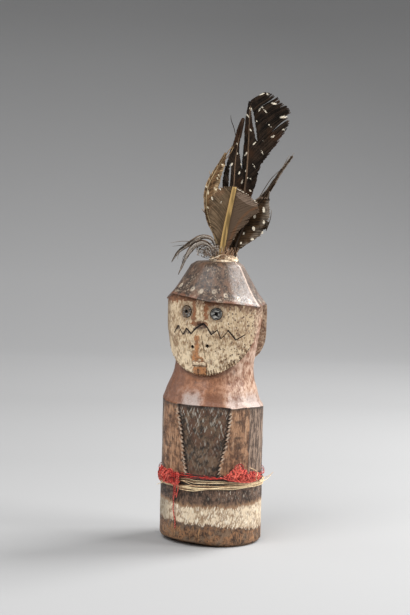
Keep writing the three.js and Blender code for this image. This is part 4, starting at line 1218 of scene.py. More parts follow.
def face_finish():
    """Chalky kaolin over brown wood, pitted with dirt, with ochre beside nose and mouth; painted shade on the
    right side, down the far left edge, under the cap's rim and in the eyes.
    """
    f = WoodFinish("kaolin_face", roughness=0.85)
    fine, chalk, mottle = f.noise(0.9, 6), f.noise(0.3, 4), f.mottled(0.4, 0.4, 0.2)
    # Kaolin, darker towards the right side of the face as painted shade, and paler lower down.
    kaolin_with_painted_shade = f.layers(
        (0.66, 0.51, 0.33),
        [(0.5, 0.37, 0.23), ("right", -0.2, 0.6)],
        [(0.86, 0.69, 0.47), (f.height, 147.0, 129.0, 0.0, 0.9)])
    ochre = f.layers(
        (0.26, 0.085, 0.026),
        [(0.5, 0.21, 0.075), (f.height, 158.0, 148.0)],
        [(0.16, 0.058, 0.022), (mottle, 0.45, 0.58, 0.0, 0.85)])
    rubbed = f.layers((0.2, 0.105, 0.065), [(0.62, 0.45, 0.33), (mottle, 0.42, 0.58)])
    crowd = f.between("right", -0.6, 0.7, 0.16, 0.3)
    pits = f.between(f.sum(f.cells(0.42), f.product(crowd, -1.0)), 0.02, -0.08)
    speck = f.product(pits, f.between(chalk, 0.36, 0.5))
    worn = f.between(f.noise(0.24, 5), 0.55, 0.64)
    blot = f.between(f.sum("blot", f.product(fine, 2.0)), 2.6, 1.5)
    tone = f.layers(
        (0.28, 0.175, 0.095),
        [kaolin_with_painted_shade, (mottle, 0.42, 0.55)],
        [(0.8, 0.69, 0.53), (f.streaks(0, 0.9, 0.3), 0.52, 0.66), 0.5],
        [ochre, f.spread("ochre", -0.8, 0.6, 2.6), 0.9],
        [(0.09, 0.05, 0.03), speck, 0.85],
        [(0.19, 0.105, 0.06), worn, ("right", -0.3, 0.9, 0.3, 0.9), 0.75],
        [rubbed, ("right", 0.74, 0.86), ("in_from_jaw", 3.5, 1.0, 0.75, 1.0), 0.9],
        # Painted shade down the far left edge, where the face turns away from view.
        [(0.13, 0.08, 0.05), ("right", -0.93, -0.985), 0.5],
        # Under the cap's rim: the brown of the brow, and a painted shadow cast by the rim.
        [(0.11, 0.045, 0.022), ("under_rim", 7.0, 0.4), (chalk, 0.36, 0.52), 0.85],
        # Round the sockets: dirt, and painted shade in the pit of each eye.
        [(0.1, 0.062, 0.042), ("eye", 7.4, 4.4), (mottle, 0.42, 0.56), 0.85],
        # Painted shade in the gap between each ring and its socket.
        [(0.05, 0.03, 0.02), ("eye", 4.3, 3.5)],
        [(0.12, 0.06, 0.035), "bridge", (chalk, 0.36, 0.5), 0.8],
        [(0.76, 0.6, 0.42), ("lip", -0.1, 0.4), (mottle, 0.4, 0.5, 0.3, 0.95)],
        [(0.09, 0.045, 0.025), f.window("lip", -0.9, -0.4, -0.15, 0.1), 0.75],
        [(0.2, 0.115, 0.06), ("comb", 0.15, 0.45, 0.0, 0.75)],
        # Painted shade in the hole of each eye ring.
        [(0.006, 0.005, 0.004), ("eye", 2.0, 1.5)],
        [(0.065, 0.038, 0.03), blot, 0.85],
        [(0.02, 0.012, 0.009), ("drawn", 0.15, 0.45), (fine, 0.34, 0.46, 0.5, 1.0)],
        [(0.24, 0.13, 0.07), ("in_from_jaw", 1.0, -0.2), (chalk, 0.38, 0.58), 0.75])
    return f.surface(tone, height=f.sum(fine, chalk, f.product(speck, -1.5)), depth=0.0004)


cap_wood, face_wood = cap_finish(), face_finish()
print(cap_wood.name, face_wood.name)

# %% Neck and shoulders
def neck_finish():
    """Red-brown wood, pale where hands have rubbed it and with painted sheen, above all on the facets of the
    shoulders; painted shade on the left side and under the chin.
    """
    f = WoodFinish("shoulder_wood", roughness=0.45, Coat_Weight=0.15, Coat_Roughness=0.3)
    fine, broad, mottle = f.noise(0.8, 6), f.noise(0.13, 3), f.mottled(0.25, 0.45, 0.3)
    worn = f.sum("facet_wear_and_sheen", f.drift(mottle, 2.0))
    painted_sheen = f.between(f.mottled(0.2, 0.45, 0.35), 0.4, 0.6)
    tone = f.layers(
        (0.2, 0.074, 0.031),
        [(0.38, 0.162, 0.076), (mottle, 0.41, 0.59)],
        # Painted shade on the left side, turned from the lamps.
        [(0.14, 0.05, 0.022), ("right", -0.45, -0.95), 0.7],
        # Pale patches on the right: painted sheen.
        [(0.68, 0.5, 0.38), ("right", -0.1, 0.75), painted_sheen, 0.85],
        # Pale facets: partly wear, partly painted sheen.
        [(0.5, 0.41, 0.37), (worn, 0.1, 0.85), (fine, 0.3, 0.5, 0.6, 1.0), 0.9],
        [(0.1, 0.042, 0.022), (f.noise(0.3, 5), 0.6, 0.7), 0.5],
        [(0.07, 0.03, 0.016), (fine, 0.64, 0.72), 0.5],
        [(0.17, 0.062, 0.028), f.window(f.around, 66.5, 71.0, 80.5, 85.0), (f.height, 111.0, 106.0),
         (mottle, 0.4, 0.5, 0.4, 0.75)],
        # Painted shadow under the chin.
        [(0.07, 0.026, 0.012), ("above_jaw", -4.4, -2.4), ("right", 0.6, 0.35), 0.45])
    return f.surface(tone, f.between(fine, 0.35, 0.65, 0.34, 0.6), f.sum(fine, mottle, broad), 0.0003)


neck_wood = neck_finish()
print(neck_wood.name)

# %% Trunk
def trunk_woods(f, fine, grain, hatch):
    """The four kinds of wood on the trunk: arms, panels, side panels and foot."""
    mottle, patches = f.mottled(), f.noise(0.16, 4)
    greyer = f.between(f.sum(f.product(f.height, 0.01), patches), 1.2, 1.5, 0.25, 1.0)
    arms = f.layers(
        (0.12, 0.056, 0.028),
        [(0.4, 0.215, 0.115), (f.sum(mottle, f.product(grain, 0.4)), 0.6, 0.8)],
        [(0.52, 0.34, 0.22), (grain, 0.56, 0.68), 0.6],
        [(0.055, 0.027, 0.015), (f.noise(0.2, 6), 0.54, 0.66), 0.8])
    ash = f.layers(
        (0.024, 0.014, 0.008),
        [(0.16, 0.097, 0.057), (mottle, 0.42, 0.58)],
        [(0.12, 0.055, 0.03), (patches, 0.48, 0.62), 0.7],
        [(0.41, 0.385, 0.33), (hatch, 1.04, 1.2), greyer, 0.85])
    sides = f.layers((0.07, 0.04, 0.026), [(0.33, 0.23, 0.165), (f.sum(grain, mottle), 0.87, 1.13)])
    foot = f.layers(
        (0.05, 0.024, 0.012),
        [(0.37, 0.185, 0.085), (mottle, 0.42, 0.58)],
        [(0.22, 0.145, 0.09), (patches, 0.5, 0.62), 0.75],
        [(0.03, 0.018, 0.012), (f.mottled(0.5, 0.5, 0.0), 0.53, 0.62), 0.85],
        [(0.46, 0.25, 0.11), (f.streaks(6, 0.7, 0.08), 0.58, 0.68), 0.7],
        [(0.01, 0.006, 0.004), (f.sum("crack", f.product(fine, 0.6)), 0.95, 0.5)])
    return arms, ash, sides, foot


def trunk_finish():
    """Brown arms, ash-grey panels, pale nicked borders, and a dark and a white painted ring; painted shade
    under the ledge, behind the bindings and on the white ring's left side.
    """
    f = WoodFinish("trunk_wood", roughness=0.6)
    fine, grain = f.noise(0.85, 6), f.streaks(2, 0.75, 0.07)
    hatch, strokes = (f.sum(f.streaks(right, across, along), f.streaks(left, across, along))
                      for right, left, across, along in ((24, -20, 0.8, 0.12), (20, -16, 1.1, 0.2)))
    arms, ash, sides, foot = trunk_woods(f, fine, grain, hatch)
    carved = f.between(f.height, PANEL_BOTTOM - 1.0, PANEL_BOTTOM)
    frayed = f.sum("kaolin", f.product(f.sum(strokes, -1.0), 5.0), f.drift(f.noise(0.2, 4), 4.0))
    dark_ring = f.layers(
        (0.026, 0.014, 0.008),
        [(0.18, 0.105, 0.068), (f.mottled(0.35, 0.35, 0.3), 0.42, 0.58)],
        [(0.6, 0.52, 0.42), (strokes, 1.1, 1.22), (f.height, 32.0, 39.0),
         ("right", -0.45, -0.05), 0.9])
    # The foot, darker below the white ring on the left side.
    darker_below_ring = f.layers(
        foot,
        [(0.09, 0.058, 0.045), (frayed, -6.0, -1.0), ("right", 0.35, -0.1),
         (f.noise(0.3, 5), 0.4, 0.56), 0.8])
    white_ring = f.layers(
        (0.34, 0.22, 0.13),
        [(0.82, 0.67, 0.48), (f.mottled(0.45, 0.4, 0.15, 12.0), 0.41, 0.56)],
        [(0.34, 0.22, 0.125), (f.noise(0.2, 6), 0.52, 0.64), 0.8],
        [(0.95, 0.86, 0.7), (strokes, 1.04, 1.2), 0.8],
        # Painted shade on the white ring's left side, turned from view.
        [(0.2, 0.17, 0.12), ("right", -0.7, -0.95), 0.6])
    tone = f.layers(
        arms,
        [ash, f.spread("front_panel", -0.2, 0.2, 0.3), carved],
        [ash, f.spread("back_panel", -0.3, 0.3, 0.5), carved],
        [sides, f.spread("side_panel", -0.4, 0.4, 0.6), carved],
        [(0.6, 0.47, 0.36), f.window("front_panel", -1.5, -0.7, -0.2, 0.15), carved,
         (f.noise(0.5, 4), 0.4, 0.52), ("right", 0.0, 0.4, 0.65, 0.85)],
        [(0.02, 0.012, 0.008), f.window("front_panel", -0.1, 0.4, 0.8, 1.7), carved, 0.8],
        [(0.03, 0.016, 0.01), f.window("side_panel", -1.1, -0.1, 0.3, 1.3), carved, 0.75],
        # Painted shadow under the ledge of the shoulders.
        [(0.02, 0.012, 0.009), ("over_ledge", -3.6, -0.4), 0.75],
        [dark_ring, f.window(f.height, 26.0, 30.0, 46.0, PANEL_BOTTOM)],
        [(0.36, 0.21, 0.11), (frayed, -3.2, -0.6), f.window(f.height, 24.0, 28.0, 33.0, 36.0), 0.75],
        [darker_below_ring, (f.height, 27.0, 24.0), (frayed, 0.4, -0.4)],
        [white_ring, (frayed, -0.6, 0.8)],
        # Painted shade on the wood behind the bindings.
        [(0.018, 0.011, 0.007), f.window(f.height, 41.0, 42.4, 50.6, 52.0), 0.85])
    return f.surface(tone, f.between(fine, 0.35, 0.65, 0.45, 0.75), f.sum(fine, grain, hatch), 0.0004)


trunk_wood = trunk_finish()
print(trunk_wood.name)

# %% Each zone takes its finish
WOOD_ZONES = [(trunk_wood, ("foot", "trunk")), (neck_wood, ("ledge", "neck")),
              (face_wood, ("jaw", "face")), (cap_wood, ("rim", "cap", "crown"))]


def finish_zones(sheet):
    """Each face of the sheet takes the recipe of the zone that its row belongs to."""
    _, row = sheet_reading(points_of(sheet.data.polygons, "center"))
    slots = np.zeros(len(row), int)
    for slot, (wood, zones) in enumerate(WOOD_ZONES):
        sheet.data.materials.append(wood)
        for zone in zones:
            slots[(row > ZONE_STARTS[zone]) & (row < ZONE_STARTS[zone] + ZONES[zone])] = slot
    sheet.data.polygons.foreach_set("material_index", slots)


finish_zones(figure)
wrap(figure)
close_up(figure)
stands_for(figure, "carved_figure")

# %% [markdown]
# ## Feathers
# Each feather is a quill that grips barbs on both sides. The barbs lean towards the tip, they are
# flat and lie edge to edge, and little hooks zip them together, so a vane shows as one surface with
# fine lines in it. Where the hooks have let go, the vane splits in locks. So a feather is built
# barb by barb: first the shaft's own directions, then the barbs of one side from their tips back to
# the quill, in locks that have drifted a little apart.

# %% Shapes of the six feathers
# A shaft runs through points of [across, towards the viewer, height]; a vane is a list of
# [share of the shaft, width on the left, width on the right]. Spots and gaps are short strokes, told
# as [across, height, across, height, half width]; the lean of the barbs is given left and right.
FEATHERS = {
    "feather_tall": {
        "quill": 1.5, "turn": -8, "cup": -2.5, "lean": (2.5, 1.05), "round_end": 9,
        "shaft": [[10.2, -4.8, 200], [12.8, -5.6, 212], [15.4, -6.5, 228], [17.6, -7.5, 244],
                  [19.1, -8.3, 259], [20, -9.4, 276], [20.3, -10.8, 291], [20.5, -12.1, 303],
                  [21.2, -13.2, 312], [22.8, -14.5, 321.3]],
        "vane": [[0.12, 1.4, 1.5], [0.2, 2, 3.4], [0.3, 2.8, 4.2], [0.4, 3.4, 5.9], [0.5, 3.7, 7.8],
                 [0.6, 3.6, 10.8], [0.65, 3.5, 15.6], [0.7, 3.4, 20.4], [0.75, 3.4, 24.3],
                 [0.8, 3, 27.2], [0.84, 2.8, 28.4], [0.88, 2.2, 28.1], [0.92, 1.6, 26.4],
                 [0.95, 1.2, 23.4], [0.98, 1, 18.6], [1, 0.8, 11.6]],
        "spots": [[26.4, 318.2, 30.3, 319.4, 0.6], [32.1, 319.4, 33.4, 318.4, 0.6],
                  [35.9, 312.7, 39.4, 312, 0.75], [26.7, 306.2, 28.7, 310.2, 0.4],
                  [28.7, 310.2, 32.5, 305.6, 0.45], [42.5, 302.7, 46.6, 303.2, 0.95],
                  [33.1, 298.3, 37.4, 295, 0.6], [44.1, 294.1, 46, 293.7, 0.7],
                  [36.5, 288.4, 38.2, 289.5, 0.9], [24.7, 299.7, 26.3, 299.4, 0.5],
                  [29.7, 286.7, 30.8, 284.7, 0.45], [23.3, 282.7, 25.1, 284.5, 0.45],
                  [29.4, 278.9, 30.8, 276.1, 0.5], [20.7, 293.8, 21.9, 292.4, 0.5],
                  [20.6, 309, 21.7, 307.2, 0.75], [18.1, 304.2, 20, 302.2, 0.6],
                  [17.5, 274.7, 19.2, 277.1, 0.55], [23.4, 269.4, 25.3, 265.8, 0.4],
                  [18.5, 263.5, 19.3, 265.1, 0.5], [18.7, 257.8, 20.2, 259.4, 0.5],
                  [21.8, 258.9, 22.6, 257.9, 0.5], [21.5, 250.5, 22.8, 249.5, 0.5]],
        "gap": [22, 307, 25.9, 286, 1.25],
    },
    "feather_tall_left": {
        "quill": 1.1, "turn": 14, "cup": -1.5, "lean": (1.6, 1.5),
        "shaft": [[5.6, -5, 200], [8, -5, 222], [9.6, -4.6, 240], [10.4, -4.5, 255], [11, -5, 271],
                  [13, -5.5, 286], [15.8, -6, 301]],
        "vane": [[0.22, 1.2, 1.2], [0.34, 4.5, 5.2], [0.45, 7.2, 6], [0.57, 8.2, 6.2], [0.66, 6.4, 5.2],
                 [0.72, 5.2, 3.2], [0.8, 3.8, 1.3], [0.88, 2.8, 1.1], [0.95, 2, 1], [1, 0.9, 0.9]],
        "spots": [[7.5, 267.4, 8.8, 269, 0.75], [15.2, 269.2, 15.7, 267.6, 0.5],
                  [13.6, 261.3, 14.3, 263.4, 0.6], [15.7, 255.1, 17, 257.8, 0.55],
                  [11.7, 283.6, 12.2, 282.1, 0.45], [12.1, 276.9, 12.4, 275.6, 0.4]],
        "gap": [7.6, 269, 6.8, 253, 0.9],
        "strays": [[[12, -5, 284], [9.1, -5, 295], [7.3, -5, 299.6], [6.9, -5, 303]],
                   [[11.5, -5, 280], [12.1, -5, 290.3], [13.4, -5, 294.5]],
                   [[7.3, -5, 275], [9.5, -5, 280.8], [12.3, -5, 283.5]]],
    },
    "feather_cut": {
        "quill": 1.65, "turn": 6, "cup": 2.2, "lean": (0.8, 0.75), "loose": 0.18,
        "shaft": [[1.6, 5.5, 200], [3.6, 5.6, 212.8], [6, 6.2, 227.7], [8.5, 7, 241.2],
                  [10.7, 8, 252.6]],
        "vane": [[0.12, 1.6, 3.2], [0.25, 4.4, 5.4], [0.42, 10.5, 8.6], [0.56, 13.4, 13],
                 [0.66, 15, 17.6], [0.76, 16, 20.4], [0.87, 14.8, 17.5], [0.95, 9, 8.5], [1, 1.8, 1.8]],
        "spots": [[-5.4, 245.5, -4.8, 243.4, 0.75], [0.5, 240.3, 2, 242.4, 0.4],
                  [-3.2, 251.6, -2.3, 250.5, 0.5], [0.3, 251.7, 1, 250.4, 0.5],
                  [25.4, 243.6, 26.6, 241.8, 0.7], [11.6, 251.8, 26.6, 244.6, 0.3]],
        "folds": [[13.5, 247.4, 26, 240.8, 3]],
        "rusts": [[27, 238.6, 21.8, 236.2, 1.2], [21.8, 236.2, 17.2, 231.9, 1.2],
                  [17.2, 231.9, 12.7, 224.8, 1.2], [12.7, 224.8, 9.4, 217.1, 1.4],
                  [9.4, 217.1, 6.6, 208.2, 1.6]],
    },
    "feather_left": {
        "quill": 0.9, "turn": 18, "cup": 1.2, "lean": (1.1, 1.1),
        "shaft": [[0, 0.6, 200.5], [-2.1, 0.6, 218], [-5.7, 0.7, 226.6], [-8.5, 1.1, 236],
                  [-9.1, 1.3, 244], [-7.4, 1.2, 254], [-3.6, 1, 262], [0.4, 0.7, 269], [4, 0.4, 276]],
        "vane": [[0.15, 1, 1], [0.28, 1.6, 4.4], [0.45, 2, 7.4], [0.6, 2, 8.4], [0.75, 1.8, 7],
                 [0.9, 1.2, 3.6], [1, 0.6, 0.6]],
        "spots": [[1.1, 268.3, 2.4, 267.9, 0.6], [-1.8, 258.7, -1.2, 257.7, 0.6],
                  [-0.8, 260.8, -0.3, 260, 0.6], [-9.5, 253.1, -8.9, 251.5, 0.6],
                  [-3.5, 251.6, -2.1, 250.1, 0.7], [0.2, 251.7, 0.7, 250.7, 0.6],
                  [-8.5, 237.9, -5.8, 236.8, 0.7], [-8.2, 249.9, -7.7, 247, 0.6]],
        "strays": [[[0.5, 0.6, 266], [2.1, 0.6, 270], [6, 0.6, 278], [11, 0.6, 283]],
                   [[2, 0.5, 270], [6.4, 0.5, 275], [9.5, 0.5, 280.7]],
                   [[-5, 1.2, 250], [-4.9, 1.2, 256], [-6.6, 1.2, 260.5], [-7.4, 1.2, 263.3]],
                   [[-7, 1.2, 232], [-10.4, 1.2, 234.3], [-12.2, 1.2, 237]]],
    },
    "feather_right": {
        "quill": 1.2, "turn": -16, "cup": 1.6, "lean": (0.7, 0.7),
        "shaft": [[10.8, 1.2, 200], [12.6, 1, 210], [15.6, 0.6, 219], [20.4, 0.4, 229],
                  [25.4, 0.6, 237], [31, 1.5, 244.5], [36.6, 3, 254], [43.4, 5, 264.5],
                  [50.6, 6.5, 275]],
        "vane": [[0.05, 3.4, 2], [0.1, 4.6, 2.8], [0.2, 5.4, 9], [0.3, 5.4, 13.8], [0.4, 5.2, 15.4],
                 [0.5, 4.4, 12.4], [0.58, 2.6, 5.2], [0.66, 1.3, 1.7], [0.85, 1.1, 1.3], [1, 0.5, 0.5]],
        "spots": [[31.8, 238.3, 31.9, 235.4, 0.9], [25.5, 233.1, 25.5, 230.9, 0.95],
                  [32.1, 228.9, 32.1, 227.1, 0.85], [24.8, 224.4, 25.2, 222.5, 1.1],
                  [30.8, 220.3, 32, 221.5, 0.9], [23.7, 215.7, 24.9, 216.1, 1.1],
                  [19.6, 208.1, 21, 209.7, 0.75], [17.9, 219.1, 18.5, 220.7, 0.6],
                  [16, 212.3, 16.6, 213.6, 0.6], [10.9, 215.1, 11.2, 216.3, 0.5],
                  [13.6, 205.2, 14.7, 205.8, 0.7]],
        "folds": [[24, 245.4, 34.4, 245.2, 0.9]],
        "strays": [[[28, 1.6, 241], [32.6, 2.4, 247], [38, 3.4, 255], [44, 4.6, 266.5], [48.7, 5.6, 276]],
                   [[31, 2, 242], [36.1, 2.6, 250], [42.4, 3.8, 261], [52, 5, 277.5]],
                   [[27, 1.8, 243], [31.5, 2.2, 251], [36.5, 3.2, 259], [41.6, 4.2, 264.5]],
                   [[34, 1.2, 222], [36.7, 1.2, 230.4], [37.5, 1.2, 237.1]]],
    },
}
BARB_POINTS = 19
BARB_PITCH = 0.5
BARB_HALF_WIDTH = 0.75
BARB_HALF_THICKNESS = 0.07
STRAY_HALF_WIDTH = 0.26
# What holds for a feather unless its own facts say otherwise: how far its barbs close round the tip
# in mm, how loosely they lie, and its stray barbs.
COMMON_FACTS = {"round_end": 0, "loose": 0.5, "strays": []}
# Half the width of the quill along its length, as a share of the thickest half width.
SHAFT_WIDTHS = {
    "any": [[0, 0.62], [0.3, 0.5], [0.75, 0.3], [1, 0.14]],
    "feather_cut": [[0, 1.0], [0.25, 1.2], [0.6, 1.1], [0.97, 1.0], [1, 0.9]],
}

print(len(FEATHERS), "feathers,", sum(len(facts["spots"]) for facts in FEATHERS.values()), "spots")

# %% Barbs along a shaft
def shaft_frames(feather, shares):
    """Centre, side and face directions at shares of a shaft."""
    line = feather["line"]
    places = np.linspace(0, 1, len(line))
    centre = along_line(shares, places, line)
    tangent = unit(along_line(shares, places, unit(np.gradient(line, axis=0))))
    level = unit(np.cross(tangent, TOWARDS_VIEWER))
    turn = math.radians(feather["turn"])
    side = level * math.cos(turn) + np.cross(tangent, level) * math.sin(turn)
    return centre, side, np.cross(side, tangent)


def locks(count, rng):
    """For each barb, the number of the lock it hangs together with."""
    return np.repeat(np.arange(count), rng.integers(5, 17, count))[:count]


def vane_barbs(feather, flip, rng):
    """Lines of the barbs on one side, from the quill to the edge of the vane, and their facing."""
    length, droop = feather["length"], feather["round_end"] / feather["length"]
    start, column = feather["vane"][0][0], 1 if flip < 0 else 2
    along_edge = np.arange(start, 1, BARB_PITCH / length)
    last = feather["vane"][-1][column]
    fan = np.arange(last, 0.4, -BARB_PITCH * 0.7)
    along_edge = along_edge[(flip > 0) | (along_edge < 1 - droop)]
    tips = np.concatenate([along_edge, 1 - droop * (1 - fan / last) ** 2 - droop * (flip < 0)])
    width = np.concatenate([reading(feather["vane"], along_edge, column), fan])
    count = len(tips)
    lock = locks(count, rng)
    drift = (rng.normal(0, 0.5, count)[lock] + rng.normal(0, 0.15, count)) / length
    lift = rng.normal(0, feather["loose"], count)[lock] + rng.normal(0, 0.08, count)
    ragged = rng.normal(0, 0.04, count)[lock] + rng.uniform(-0.06, 0.03, count)
    roots = np.maximum(start * 0.6, tips - feather["lean"][column - 1] * width / length)
    width = width * np.minimum(1.04, 1 + ragged)
    along = np.linspace(0, 1, BARB_POINTS)
    share = roots[:, None] + (tips - roots)[:, None] * along ** 0.9 + drift[:, None] * along ** 6
    offset = flip * width[:, None] * along ** 1.15
    centre, side, face = shaft_frames(feather, np.clip(share, 0, 1))
    bowl = feather["cup"] * (offset / 20) ** 2 + lift[:, None] * along ** 2
    return centre + side * (offset * MM)[..., None] + face * (bowl * MM)[..., None], face


print("lean of the barbs:", {name: facts["lean"] for name, facts in FEATHERS.items()})

# %% Spots, folds and gaps
def seen_places(points):
    """Across and height in mm of points in metres, as seen from the viewing side."""
    turn = math.radians(VIEW_ANGLE)
    across = points[..., 0] * math.cos(turn) + points[..., 1] * math.sin(turn)
    return across / MM, points[..., 2] / MM


def stroke_depth(points, strokes):
    """How far inside the nearest of some strokes, in mm: positive on a stroke."""
    across, height = seen_places(points)
    nearest = np.full(across.shape, -9.0)
    for *ends, half in strokes:
        away, share = to_stroke(across, height, *ends)
        nearest = np.maximum(nearest, half * (1 - 0.35 * (2 * share - 1) ** 2) - away)
    return nearest


def parted(lines, face, gap):
    """Barbs that cross a gap end at its near side and start again at its far side."""
    whole, inner, outer = [], [], []
    fine = np.linspace(0, 1, 61)
    for line, turned in zip(lines, face):
        dense = along_line(fine, np.linspace(0, 1, len(line)), line)
        inside = np.flatnonzero(stroke_depth(dense, [gap]) > 0)
        if len(inside) == 0:
            whole.append((line, turned))
            continue
        if inside[0] > 3:
            inner.append((evenly_spaced(dense[:inside[0] + 1], len(line)), turned))
        if inside[-1] < len(fine) - 4:
            outer.append((evenly_spaced(dense[inside[-1]:], len(line)), turned))
    return (np.array(part) for part in zip(*whole, *inner, *outer))


print("depth inside a spot of 1 mm:", stroke_depth(in_view(0, 0, 1), [(-1, 1, 1, 1, 1)]).tolist())

# %% One feather from its facts
def feather_piece(name, facts, finish, slot):
    line = seen_line(facts["shaft"], 241)
    feather = {**COMMON_FACTS, **facts, "line": line, "length": np.sum(stretches(line)) / MM}
    rng = np.random.default_rng(len(name) * 31 + int(feather["turn"]) + 40)
    parts = []
    taper = np.interp(np.linspace(0, 1, BARB_POINTS), [0, 0.75, 1], [1, 1, 0.45])
    for flip in (-1, 1):
        lines, face = vane_barbs(feather, flip, rng)
        if "gap" in feather:
            lines, face = parted(lines, face, feather["gap"])
        wide, thick = BARB_HALF_WIDTH * taper, BARB_HALF_THICKNESS * taper
        parts.append(lay_strands("vane", 4, lines, wide, thick, face, flip=flip))
    thin = STRAY_HALF_WIDTH * taper
    for stray in feather["strays"]:
        parts.append(lay_strands("stray", 4, [seen_line(stray, BARB_POINTS)], thin, thin, TOWARDS_VIEWER))
    shares = np.linspace(0, 1 - feather["round_end"] / feather["length"], 41)
    centre, _, face = shaft_frames(feather, shares)
    half = feather["quill"] * reading(SHAFT_WIDTHS.get(name, SHAFT_WIDTHS["any"]), shares)
    parts.append(lay_strands("shaft", 10, [centre], half, half * 0.9, face, shaft=1))
    piece = joined(f"{name}_barbs", parts)
    points = points_of(piece.data.vertices)
    for mark in ("spot", "fold", "rust"):
        keep_number(piece, mark, stroke_depth(points, feather.get(mark + "s", [])))
    stands_for(piece, name, finish)


print("barbs every", BARB_PITCH, "mm along the edge of a vane")

# %% The downy tuft
# Two pointed locks that droop over the crown; how far the barbs spread from each, along its length.
DOWN_LOCKS = [
    {"route": [[-1, 4, 203], [-1.8, 5, 210.5], [-4.7, 6, 215.6], [-10.6, 7, 217.2], [-16.4, 8, 214.6],
               [-22.2, 8.6, 210.4], [-27.4, 9, 206.4], [-30.4, 9.2, 202.4], [-32.4, 9, 198.6]],
     "spread": [[0, 0.8], [0.2, 1.3], [0.5, 2.0], [0.75, 1.2], [1, 0.12]], "count": 110},
    {"route": [[-2, 5, 204], [-5, 6.5, 210], [-10.5, 8, 213], [-16.3, 9, 211], [-19.7, 9.4, 207],
               [-22.5, 9.6, 202], [-25.3, 9.6, 195.3], [-27.5, 9.4, 189.9]],
     "spread": [[0, 1.2], [0.25, 2.4], [0.5, 2.2], [0.7, 1.1], [1, 0.1]], "count": 110},
]
DOWN_WISPS = [[[-17, 8, 213], [-22, 8.4, 213.6], [-28.1, 8.6, 213.2], [-33.9, 8.6, 212]],
              [[-19, 8, 211.6], [-25, 8.6, 210.8], [-32.7, 8.8, 209.7]],
              [[-21, 9, 206], [-24, 9, 203], [-25.4, 9, 198.5]],
              [[-24, 9, 209], [-27.4, 9, 205], [-28.6, 9, 200.6]]]
DOWN_CURLS = 130
DOWN_POINTS = 13


def down_lock(route, spread, count, rng):
    """Soft barbs that leave a lock's middle line and come together at its tip; how pale each one is."""
    fine = seen_line(route, 121)
    side = unit(np.cross(unit(np.gradient(fine, axis=0)), TOWARDS_VIEWER))
    start = rng.uniform(0, 0.7, (count, 1))
    end = np.minimum(1, start + rng.uniform(0.25, 0.6, (count, 1)))
    share = start + (end - start) * np.linspace(0, 1, DOWN_POINTS)
    aside = rng.uniform(-1, 1, (count, 1))
    wide = reading(spread, share) * aside * (share / end) ** 0.5
    deep = reading(spread, share) * rng.uniform(-0.7, 0.7, (count, 1))
    wave = 0.14 * np.sin(share * 30 + rng.uniform(0, 6, (count, 1)))
    middle, outward = (along_line(share, np.linspace(0, 1, len(fine)), line) for line in (fine, side))
    lines = middle + outward * ((wide + wave) * MM)[..., None] + TOWARDS_VIEWER * (deep * MM)[..., None]
    return lines, 0.45 - np.abs(aside[:, 0]) + rng.uniform(-0.3, 0.3, count)


def down_curls(rng):
    """Short pale barbs that curl at the foot of the tuft."""
    def drawn(low, high):
        return rng.uniform(low, high, (DOWN_CURLS, 1))

    turn = np.radians(drawn(0, 360) + np.linspace(0, 1, DOWN_POINTS) * drawn(60, 130))
    size = drawn(1.6, 4.6)
    across = drawn(-12.5, 0) + size * np.cos(turn)
    middle = 206.5 + 2.6 * drawn(-1, 1)
    height = np.maximum(middle + size * np.sin(turn), 201 - 0.35 * (across + 6))
    return in_view(across, drawn(4, 9), height)


def down_piece(finish):
    rng = np.random.default_rng(3)
    taper = np.interp(np.linspace(0, 1, DOWN_POINTS), [0, 0.5, 1], [0.26, 0.2, 0.06])
    groups = [down_lock(**lock, rng=rng) for lock in DOWN_LOCKS]
    groups.append(([seen_line(wisp, DOWN_POINTS) for wisp in DOWN_WISPS], -1))
    groups.append((down_curls(rng), rng.uniform(-0.9, 0.6, DOWN_CURLS)))
    parts = [lay_strands("down_barbs", 4, lines, taper, taper * 0.6, TOWARDS_VIEWER, spot=pale)
             for lines, pale in groups]
    stands_for(joined("feather_down_barbs", parts), "feather_down", finish)


print(DOWN_CURLS + len(DOWN_WISPS) + sum(lock["count"] for lock in DOWN_LOCKS), "barbs of down")

# %% Feather finishes
def feather_finish(name, dark, light, spot=(0.78, 0.7, 0.56), quill=(0.4, 0.3, 0.17), warm=None,
                   other_side=None, margin=None):
    """Barbs that differ a little, spots that break up at their rims, and a quill of horn with a painted
    highlight down one side.
    """
    f = Finish(name, roughness=0.8, Specular_IOR_Level=0.12)
    mottle = f.noise(180, 4)
    coats = [[light, (f.weighted((f.by_strand(), 0.6), (mottle, 1.5)), 0.7, 1.4)]]
    if warm:
        coats.append([warm, (f.noise(60, 2), 0.48, 0.68), 0.8])
    if other_side:
        coats.append([other_side, ("flip", -0.1, 0.1)])
    if margin:
        coats.append([margin, ("along", 0.55, 0.95), (mottle, 0.35, 0.6), 0.8])
    for mark, shade in (("fold", (0.21, 0.15, 0.11)), ("rust", (0.13, 0.068, 0.036))):
        coats.append([shade, (f.sum(mark, f.product(mottle, 0.8)), 0.3, 0.9), 0.85])
    coats.append([spot, (f.sum("spot", f.drift(f.noise(900, 2), 0.7)), -0.1, 0.15)])
    horn = f.noise(420, 3, f.stretched(1, 1, 0.12))
    quill_and_highlight = f.layers(
        tuple(c * 0.45 for c in quill),
        [quill, (horn, 0.38, 0.6)],
        # A painted highlight down one side of the quill.
        [tuple(min(1, c * 1.7) for c in quill), ("across", -0.15, -0.75), 0.6])
    coats.append([quill_and_highlight, "shaft"])
    return f.surface(f.layers(dark, *coats), height=mottle, depth=0.0001)


